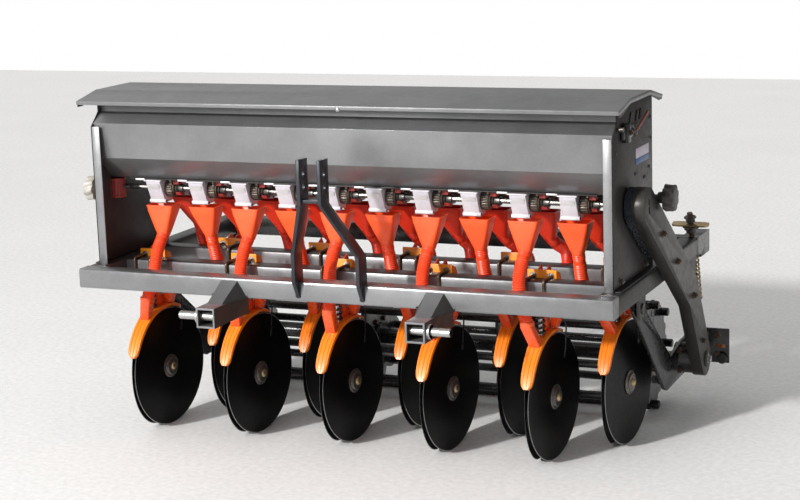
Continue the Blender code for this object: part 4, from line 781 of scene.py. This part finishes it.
def opener_pieces():
    for row in range(ROWS):
        x, y0 = row_x(row), row_y(row)
        number = "%02d" % (row + 1)
        bar = y0 - TOOLBAR_LEAD
        rear, front = bar + TUBE / 2 + GAP, bar - TUBE / 2 - GAP
        fender = Piece(ORANGE)
        part = bmesh.new()
        rings = []
        steps = 44
        for i in range(steps + 1):
            angle = math.radians(FENDER_FROM + 98.0 * i / steps)
            near_tip = min((steps - i) / 4.5, 1.0)
            near_tail = min(i / 2.0, 1.0)
            taper = 1 - 0.26 * max(0.0, i / steps - 0.30) / 0.70
            width = FENDER_HALF * taper * (0.40 + 0.60 * math.sqrt(1 - (1 - near_tip) ** 2)) * (0.82 + 0.18 * near_tail)
            rings.append([part.verts.new((x + u, y0 + r * math.cos(angle), DISC_R + r * math.sin(angle)))
                for u, r in fender_section(width)])
        skin(part, rings)
        fender.add(part)
        fender.done("fender_" + number, "frame", "orange_paint", "opener_" + number)

        clamp = Piece(CLAMP, RED_ORANGE)
        clamp.box((x - HEAD_HALF, x + HEAD_HALF), (rear, rear + 0.006), (HEAD_LOW, HEAD_HIGH), 0, 0.0015)
        for dx in (-0.0395, -0.012, 0.012, 0.0395):
            tall = abs(dx) < 0.02
            outline = [(rear + 0.005, HEAD_LOW + 0.004), (rear + 0.005, HEAD_HIGH - 0.002),
                (rear + 0.030, HEAD_HIGH + (0.010 if tall else -0.012)),
                       (rear + 0.040, HEAD_HIGH - 0.006 if tall else HEAD_HIGH - 0.030),
                       (rear + 0.024, HEAD_LOW + 0.020)]
            # Painted shade: the two tall ears take the red-orange, standing in for the shade on these rear plates; the
            # short ones keep the clamp's orange.
            clamp.prism(outline, x + dx - 0.0018, x + dx + 0.0018, 1 if tall else 0, 0.0008)
        clamp.done("clamp_" + number, "frame", "orange_paint")

        bolts = Piece(BRONZE, ZINC)
        r = UBOLT / 2
        for dx in (-UBOLT_SPREAD / 2, UBOLT_SPREAD / 2):
            top, low, fore = FRAME_TOP + GAP + r, FRAME_UNDER - GAP - r, front - r
            corner = 0.008
            path = [(rear + 0.022, top), (fore + corner, top)]
            path += arc((fore + corner, top - corner), corner, 90, 180, 6)[1:]
            path += arc((fore + corner, low + corner), corner, 180, 270, 6)
            path += [(rear + 0.022, low)]
            bolts.tube([Vector((x + dx, y, z)) for y, z in path], r, 12)
            for z in (top, low):
                bolts.lathe([(r, 0.0), (0.0095, 0.0), (0.0095, 0.0014), (r, 0.0014)],
                    (x + dx, rear - 0.0014, z), (0, 1, 0), 18, 1, loop=True)
                bolts.nut((x + dx, rear + 0.006, z), (0, 1, 0), 0.014, 0.007, 1)
        bolts.done("clamp_bolts_" + number, "frame", "orange_paint")

        shank = Piece(ORANGE, RED_ORANGE, BRONZE, ZINC, BLACK)
        leg_y = rear + 0.005
        outline = [(leg_y, FRAME_UNDER + 0.016), (leg_y + 0.030, FRAME_UNDER - 0.004),
            (leg_y + 0.050, FRAME_UNDER - 0.116), (y0 + 0.022, 0.163),
                   (y0 - 0.022, 0.163), (y0 - 0.030, FRAME_UNDER - 0.126), (leg_y, HEAD_LOW + 0.004)]
        shank.prism(outline, x - 0.006, x + 0.006, 1, 0.0018)
        shank.nut((x + 0.006, leg_y + 0.022, 0.400), (1, 0, 0), 0.015, 0.007, 3)
        shank.nut((x - 0.006, leg_y + 0.022, 0.400), (-1, 0, 0), 0.015, 0.007, 3)
        shank.prism([(y0 + 0.036, 0.354), (y0 + 0.084, 0.338), (y0 + 0.088, 0.352), (y0 + 0.072, 0.386),
            (y0 + 0.052, 0.392), (y0 + 0.036, 0.372)],
                    x - 0.0150, x - 0.0110, 0, 0.0015)
        shank.prism([(y0 + 0.036, 0.366), (y0 + 0.060, 0.362), (y0 + 0.064, 0.396), (y0 + 0.040, 0.400)],
            x - 0.022, x + 0.0072, 0, 0.0015)
        for side in (-1, 1):
            end = Vector((x + side * DISC_OFFSET, y0, DISC_R)) - axis_of(side) * (DISC_THICK / 2 + 0.0006)
            shank.rod(end - axis_of(side) * 0.016, end, 0.0135, 24, 4)
        shank.done("shank_" + number, "frame", "orange_paint")

        coil = Piece(BLACK, ZINC, ORANGE)
        spring_y = y0 - 0.046
        foot = FENDER_OUT * math.sin(math.radians(101)) + DISC_R + 0.004
        coil.tube(helix((x, spring_y, foot), (x, spring_y, HEAD_LOW + 0.001), 0.0118, 6.2), 0.0027, 8)
        coil.rod((x, spring_y, foot - 0.006), (x, spring_y, HEAD_LOW + 0.004), 0.0062, 16, 1)
        coil.box((x - 0.017, x + 0.017), (spring_y - 0.017, rear + 0.002), (HEAD_LOW, HEAD_LOW + 0.006), 2,
            0.0015)
        coil.nut((x, spring_y, HEAD_LOW + 0.006), (0, 0, 1), 0.013, 0.006, 1, 0.005)
        coil.done("pressure_spring_" + number, "frame", "black_paint")

        scraper = Piece(BLACK)
        for side in (-1, 1):
            def outer(y):
                return side * (DISC_OFFSET + (y - y0) * math.tan(DISC_TOE) + 0.0072)
            route = [(x + side * 0.012, y0 + 0.054, 0.378), (x + side * 0.020, y0 + 0.058, 0.379),
                (x + side * 0.0305, y0 + 0.062, 0.374),
                     (x + outer(y0 + 0.064) + side * 0.0012, y0 + 0.066, 0.356),
                     (x + outer(y0 + 0.064), y0 + 0.064, 0.325), (x + outer(y0 + 0.060), y0 + 0.060, 0.285)]
            scraper.tube(smooth_path(route, 30), 0.0023, 10)
            tip = outer(y0 + 0.058)
            scraper.box((x + tip - side * 0.0022, x + tip + side * 0.0004), (y0 + 0.054, y0 + 0.064),
                (0.272, 0.290), 0, 0.0006)
        scraper.done("scrapers_" + number, "frame", "orange_paint")


def axis_of(side):
    """The outward normal of one disc of a toed-in pair."""
    return Vector((side * math.cos(DISC_TOE), -math.sin(DISC_TOE), 0))


def disc_pieces():
    for row in range(ROWS):
        for side, word in ((-1, "left"), (1, "right")):
            name = "disc_%02d_%s" % (row + 1, word)
            at = Vector((row_x(row) + side * DISC_OFFSET, row_y(row), DISC_R))
            axis = axis_of(side)
            half = DISC_THICK / 2
            blade = Piece(BLADE, EDGE, HUB, YELLOW_ZINC, BRONZE)
            ground = DISC_R - 0.0019
            blade.lathe([(0, half), (0.046, half), (0.060, half - 0.0006), (ground - 0.004, half - 0.0006),
                (ground, half - 0.0010), (ground, 0.0002),
                         (ground, -0.0002), (ground, -half + 0.0010), (ground - 0.004, -half + 0.0006),
                         (0.060, -half + 0.0006), (0.046, -half), (0, -half)],
                        at, axis, 96)
            blade.lathe([(ground - 0.0004, half - 0.0011), (DISC_R - 0.0003, 0.0003), (DISC_R, 0.0),
                (DISC_R - 0.0003, -0.0003), (ground - 0.0004, -half + 0.0011)],
                        at, axis, 96, 1, loop=True)
            hub = [(0, 0), (0.0335, 0), (0.0345, 0.0010), (0.0345, 0.0032), (0.0325, 0.0045),
                (0.0275, 0.0050), (0.0262, 0.0062), (0.0262, 0.0090),
                   (0.0245, 0.0104), (0.0165, 0.0108), (0, 0.0108)]
            blade.lathe(hub, at + axis * half, axis, 48, 2)
            r = 0.0125
            blade.lathe([(0, 0), (r, 0), (r, 0.0016),
                (r * 0.97, 0.0018)] + [(r * 0.92 * math.cos(math.radians(a)),
                0.0018 + 0.0062 * math.sin(math.radians(a))) for a in (0, 20, 40, 60, 78)]
                        + [(0, 0.0080)], at + axis * (half + 0.0106), axis, 28, 3)
            u = axis.orthogonal().normalized()
            v = axis.cross(u)
            for i in range(6):
                a = math.tau * i / 6 + 0.3 * row
                spot = at + (u * math.cos(a) + v * math.sin(a)) * 0.0300 + axis * (half + 0.0044)
                blade.lathe([(0, 0), (0.0026, 0), (0.0024, 0.0010), (0.0012, 0.0016), (0, 0.0017)], spot,
                    axis, 12, 4)
            for sign in (-1, 1):
                spot = at + u * sign * 0.0192 + axis * (half + 0.0106)
                blade.rod(spot - v * 0.003, spot + v * 0.003, 0.0012, 8, 4)
            blade.done(name + "_blade", name, "disc_steel", name)


# ---- roller, arms, chain case and depth screws --------------------------------------------------------
def roller_pieces():
    cage = Piece(BLACK, HUB, BRONZE)
    centre = (ROLLER_Y, ROLLER_R)
    cage.rod((-ROLLER_HALF, *centre), (ROLLER_HALF, *centre), 0.0238, 40, 0, 0.002)
    cage.rod((-0.777, *centre), (0.777, *centre), 0.0149, 32, 1, 0.002)
    ring = ROLLER_R - 0.0125
    for x in (-0.660, -0.220, 0.220, 0.660):
        outline = toothed(24, ROLLER_R - 0.0008, ROLLER_R - 0.010, centre) if abs(x) > 0.5 else lobed(8,
            0.158, 0.118, 128, centre, -math.pi / 2)
        cage.prism(outline, x - 0.004, x + 0.004, 0, 0.0010)
        cage.lathe([(0.0236, 0), (0.0236, 0.030), (0.040, 0.030), (0.043, 0.026), (0.043, 0.004),
            (0.040, 0.0)], (x - 0.015, *centre), (1, 0, 0), 40, loop=True)
        for i in range(6):
            a = math.tau * i / 6
            cage.nut((x + 0.004, centre[0] + 0.058 * math.cos(a), centre[1] + 0.058 * math.sin(a)), (1, 0, 0),
                0.014, 0.007, 2)
    for i in range(8):
        a = math.tau * i / 8 - math.pi / 2
        y, z = centre[0] + ring * math.cos(a), centre[1] + ring * math.sin(a)
        cage.rod((-ROLLER_HALF, y, z), (ROLLER_HALF, y, z), 0.01245, 24, 0, 0.002)
        for x in (-0.649, 0.649):
            cage.rod((x, y, z), (x - math.copysign(0.006, x), y, z), 0.01249, 20)
    cage.done("roller_cage", "roller", "black_paint", "press_roller")


def arm_pieces():
    for side, word in ((-1, "left"), (1, "right")):
        refined("roller_arm_" + word, "roller_carrier", "black_paint", BLACK, 0.0014)
        trim = Piece(BRONZE, ZINC, BLACK, YELLOW_ZINC, COPPER, RUBBER)
        face = side * (ARM_X + 0.005)
        for angle in (45, 135, 225, 315):
            a = math.radians(angle)
            trim.nut((face - side * 0.0002, ROLLER_Y + 0.056 * math.cos(a), ROLLER_R + 0.042 * math.sin(a)),
                (side, 0, 0), 0.015, 0.008, 0, 0.004)
        if side < 0:
            trim.lathe([(0, 0), (0.043, 0), (0.044, 0.003), (0.040, 0.006), (0.022, 0.007), (0.020, 0.012),
                (0, 0.013)], (side * 0.7932, ROLLER_Y, ROLLER_R), (side, 0, 0), 40, 2)
            trim.nut((side * 0.8060, ROLLER_Y, ROLLER_R), (side, 0, 0), 0.018, 0.008, 1)
        foot_x, foot_y = side * SCREW_X, 0.712
        for dx in (0.030, 0.066):
            for z in (0.135, 0.195):
                trim.nut((side * (0.735 + dx + 0.02), foot_y + 0.0078, z), (0, 1, 0), 0.014, 0.008, 0, 0.004)
                trim.nut((side * (0.735 + dx + 0.02), foot_y + 0.0001, z), (0, -1, 0), 0.014, 0.007, 0)
        trim.box((side * 0.815, side * 0.845), (foot_y - 0.0012, foot_y - 0.0001), (0.156, 0.168), 4, 0.0004)
        trim.lathe([(0, 0), (0.013, 0), (0.015, 0.003), (0.015, 0.014), (0.012, 0.018), (0, 0.019)],
            (side * 0.838, foot_y - 0.003, 0.126), (0, -1, 0), 24, 5)
        trim.done("arm_trim_" + word, "roller_carrier", "black_paint")


def case_pieces():
    # Painted shade: the chain case takes the darkened grey in place of the graphite paint.
    case = refined("chain_case", "roller_carrier", "graphite_paint", CASE_PAINTED_SHADE, 0.0014)
    case.data.materials.append(DRUM_BLUE)
    for face in case.data.polygons:
        if face.center.x < 0.7925:
            face.material_index = 1
    trim = Piece(CASE_PAINTED_SHADE, BRONZE, RUBBER, ZINC)
    top, elbow, low = Vector((SHAFT_Y, SHAFT_Z)), Vector((0.405, 0.395)), Vector((ROLLER_Y, ROLLER_R))
    for start, end, shares in ((top, elbow, (0.30, 0.62)), (elbow, low, (0.05, 0.72))):
        for share in shares:
            p = start.lerp(end, share)
            trim.nut((CASE_OUTER - 0.0002, p.x, p.y), (1, 0, 0), 0.014, 0.007, 1, 0.003)
    trim.lathe([(0, 0), (0.024, 0), (0.024, 0.003), (0.018, 0.006), (0, 0.006)],
        (CASE_OUTER - 0.0004, low.x, low.y), (1, 0, 0), 32, 0)
    trim.nut((CASE_OUTER + 0.005, low.x, low.y), (1, 0, 0), 0.018, 0.008, 3)
    trim.box((CASE_OUTER - 0.0058, CASE_OUTER - 0.0050), (SHAFT_Y - 0.0045, SHAFT_Y + 0.0045),
        (SHAFT_Z - 0.019, SHAFT_Z + 0.019), 2, 0.0002)
    trim.rod((CASE_OUTER - 0.0052, SHAFT_Y, SHAFT_Z), (CASE_OUTER - 0.0015, SHAFT_Y, SHAFT_Z), 0.0042, 16, 3)
    trim.done("case_trim", "roller_carrier", "graphite_paint")


def screw_point(along):
    run = Vector((SCREW_FOOT[0] - SCREW_TOP[0], SCREW_FOOT[1] - SCREW_TOP[1])).normalized()
    return (SCREW_TOP[0] + along * run.x, SCREW_TOP[1] + along * run.y)


def screw_pieces():
    length = math.hypot(SCREW_FOOT[0] - SCREW_TOP[0], SCREW_FOOT[1] - SCREW_TOP[1])
    lean = math.atan2(SCREW_FOOT[0] - SCREW_TOP[0], SCREW_TOP[1] - SCREW_FOOT[1])
    for side, word in ((-1, "left"), (1, "right")):
        def at(distance):
            return Vector((side * SCREW_X, *screw_point(distance)))
        screw = Piece(BRONZE, YELLOW_ZINC, KNOB, ZINC)
        line = [at(length * i / 280) for i in range(281)]
        radii = [SCREW_R - (0.0 if i % 2 else 0.0011) for i in range(281)]
        screw.tube(line, radii, 18)
        down = (at(1.0) - at(0.0)).normalized()
        screw.nut(at(0.014), down, 0.024, 0.014, 2)
        screw.lathe([(0, 0), (0.0135, 0), (0.0150, 0.002), (0.0150, 0.019), (0.0135, 0.021), (0, 0.021)],
            at(0.041), down, 28, 2)
        tilt = Matrix.Translation(at(0.037)) @ Matrix.Rotation(lean, 4, "X")
        bar = rounded_box(0.055, 0.014, 5, 40)
        screw.prism(bar, -0.003, 0.003, 1, 0.0012, 2, tilt)
        screw.prism(lobed(6, 0.0245, 0.0185, 72), -0.011, -0.0032, 2, 0.0016, 2, tilt)
        coil_top, coil_low = at(0.128), at(length - 0.095)
        screw.tube(helix(coil_top, coil_low, 0.0150, 12, 16), 0.0031, 8, 1)
        screw.lathe([(SCREW_R + 0.0005, 0), (0.019, 0), (0.019, 0.003), (SCREW_R + 0.0005, 0.003)], coil_low,
            down, 28, 3, loop=True)
        screw.lathe([(SCREW_R + 0.0005, 0), (0.019, 0), (0.019, -0.003), (SCREW_R + 0.0005, -0.003)],
            coil_top, down, 28, 3, loop=True)
        screw.nut(coil_low + down * 0.004, down, 0.022, 0.011, 3, washer=False)
        screw.done("depth_screw_%s_detail" % word, "frame", "yellow_zinc", "depth_screw_" + word)


# ---- floor, light and camera ---------------------------------------------------------------------------
def studio():
    floor = bpy.data.meshes.new("floor")
    floor.from_pydata([(-9, -9, -0.0004), (9, -9, -0.0004), (9, 9, -0.0004), (-9, 9, -0.0004)], [],
        [(0, 1, 2, 3)])
    floor.materials.append(material("floor_pale", (0.90, 0.90, 0.90), (0.93, 0.93, 0.93), 0.0, (0.6, 0.75),
        1.5, 60, 0.02, 0.0002))
    ground = bpy.data.objects.new("floor", floor)
    bpy.context.scene.collection.objects.link(ground)
    world = bpy.data.worlds.new("studio")
    world.use_nodes = True
    nodes, links = world.node_tree.nodes, world.node_tree.links
    back, out = nodes["Background"], nodes["World Output"]
    where = nodes.new("ShaderNodeTexCoord")
    side = nodes.new("ShaderNodeVectorMath")
    side.operation = "DOT_PRODUCT"
    side.inputs[1].default_value = (-0.80, -0.45, 0.40)
    links.new(where.outputs["Generated"], side.inputs[0])
    ramp = nodes.new("ShaderNodeMapRange")
    ramp.inputs["From Min"].default_value, ramp.inputs["From Max"].default_value = -0.75, 0.75
    ramp.inputs["To Min"].default_value, ramp.inputs["To Max"].default_value = 0.12, 0.72
    links.new(side.outputs["Value"], ramp.inputs["Value"])
    back.inputs["Color"].default_value = (1.0, 0.995, 0.985, 1)
    links.new(ramp.outputs["Result"], back.inputs["Strength"])
    seen = nodes.new("ShaderNodeBackground")
    seen.inputs["Color"].default_value = (1.0, 1.0, 1.0, 1)
    seen.inputs["Strength"].default_value = 1.0
    path = nodes.new("ShaderNodeLightPath")
    mix = nodes.new("ShaderNodeMixShader")
    links.new(path.outputs["Is Camera Ray"], mix.inputs["Fac"])
    links.new(back.outputs["Background"], mix.inputs[1])
    links.new(seen.outputs["Background"], mix.inputs[2])
    links.new(mix.outputs["Shader"], out.inputs["Surface"])
    bpy.context.scene.world = world
    for name, kind, place, aim, power, size, tint in (
            ("key", "AREA", (-1.6, -3.8, 2.6), (0, 0, 0.6), 60, 1.8, (1.0, 0.985, 0.96)),
            ("sun", "SUN", (-1.68, -3.6, 2.05), (0, 0, 0.4), 3.1, 0.06, (1.0, 0.985, 0.96))):
        lamp = bpy.data.lights.new(name, kind)
        lamp.energy = power
        lamp.color = tint
        if kind == "AREA":
            lamp.size = size
        else:
            lamp.angle = size
        holder = bpy.data.objects.new(name, lamp)
        holder.location = place
        holder.rotation_euler = (Vector(aim) - Vector(place)).to_track_quat("-Z", "Y").to_euler()
        bpy.context.scene.collection.objects.link(holder)
    bpy.context.scene.view_settings.view_transform = "Standard"


def camera():
    yaw, pitch, roll = math.radians(23.386), math.radians(11.4565), math.radians(-1.899)
    forward = Vector((-math.sin(yaw) * math.cos(pitch), math.cos(yaw) * math.cos(pitch), -math.sin(pitch)))
    right = Vector((math.cos(yaw), math.sin(yaw), 0))
    up = right.cross(forward)
    image_right = right * math.cos(roll) + up * math.sin(roll)
    image_up = up * math.cos(roll) - right * math.sin(roll)
    data = bpy.data.cameras.new("camera")
    data.lens = 36 * 1888.6 / 800
    data.shift_x, data.shift_y = -0.0058, 0.0078
    data.clip_end = 60
    holder = bpy.data.objects.new("camera", data)
    basis = Matrix((image_right, image_up, -forward)).transposed()
    holder.matrix_world = Matrix.Translation((2.1506, -4.7066 - ORIGIN_Y, 1.5825)) @ basis.to_4x4()
    bpy.context.scene.collection.objects.link(holder)
    bpy.context.scene.camera = holder


camera()
studio()
frame_pieces()
mast_trim()
hopper_pieces()
end_pieces()
meter_pieces()
hose_pieces()
opener_pieces()
disc_pieces()
roller_pieces()
arm_pieces()
case_pieces()
screw_pieces()
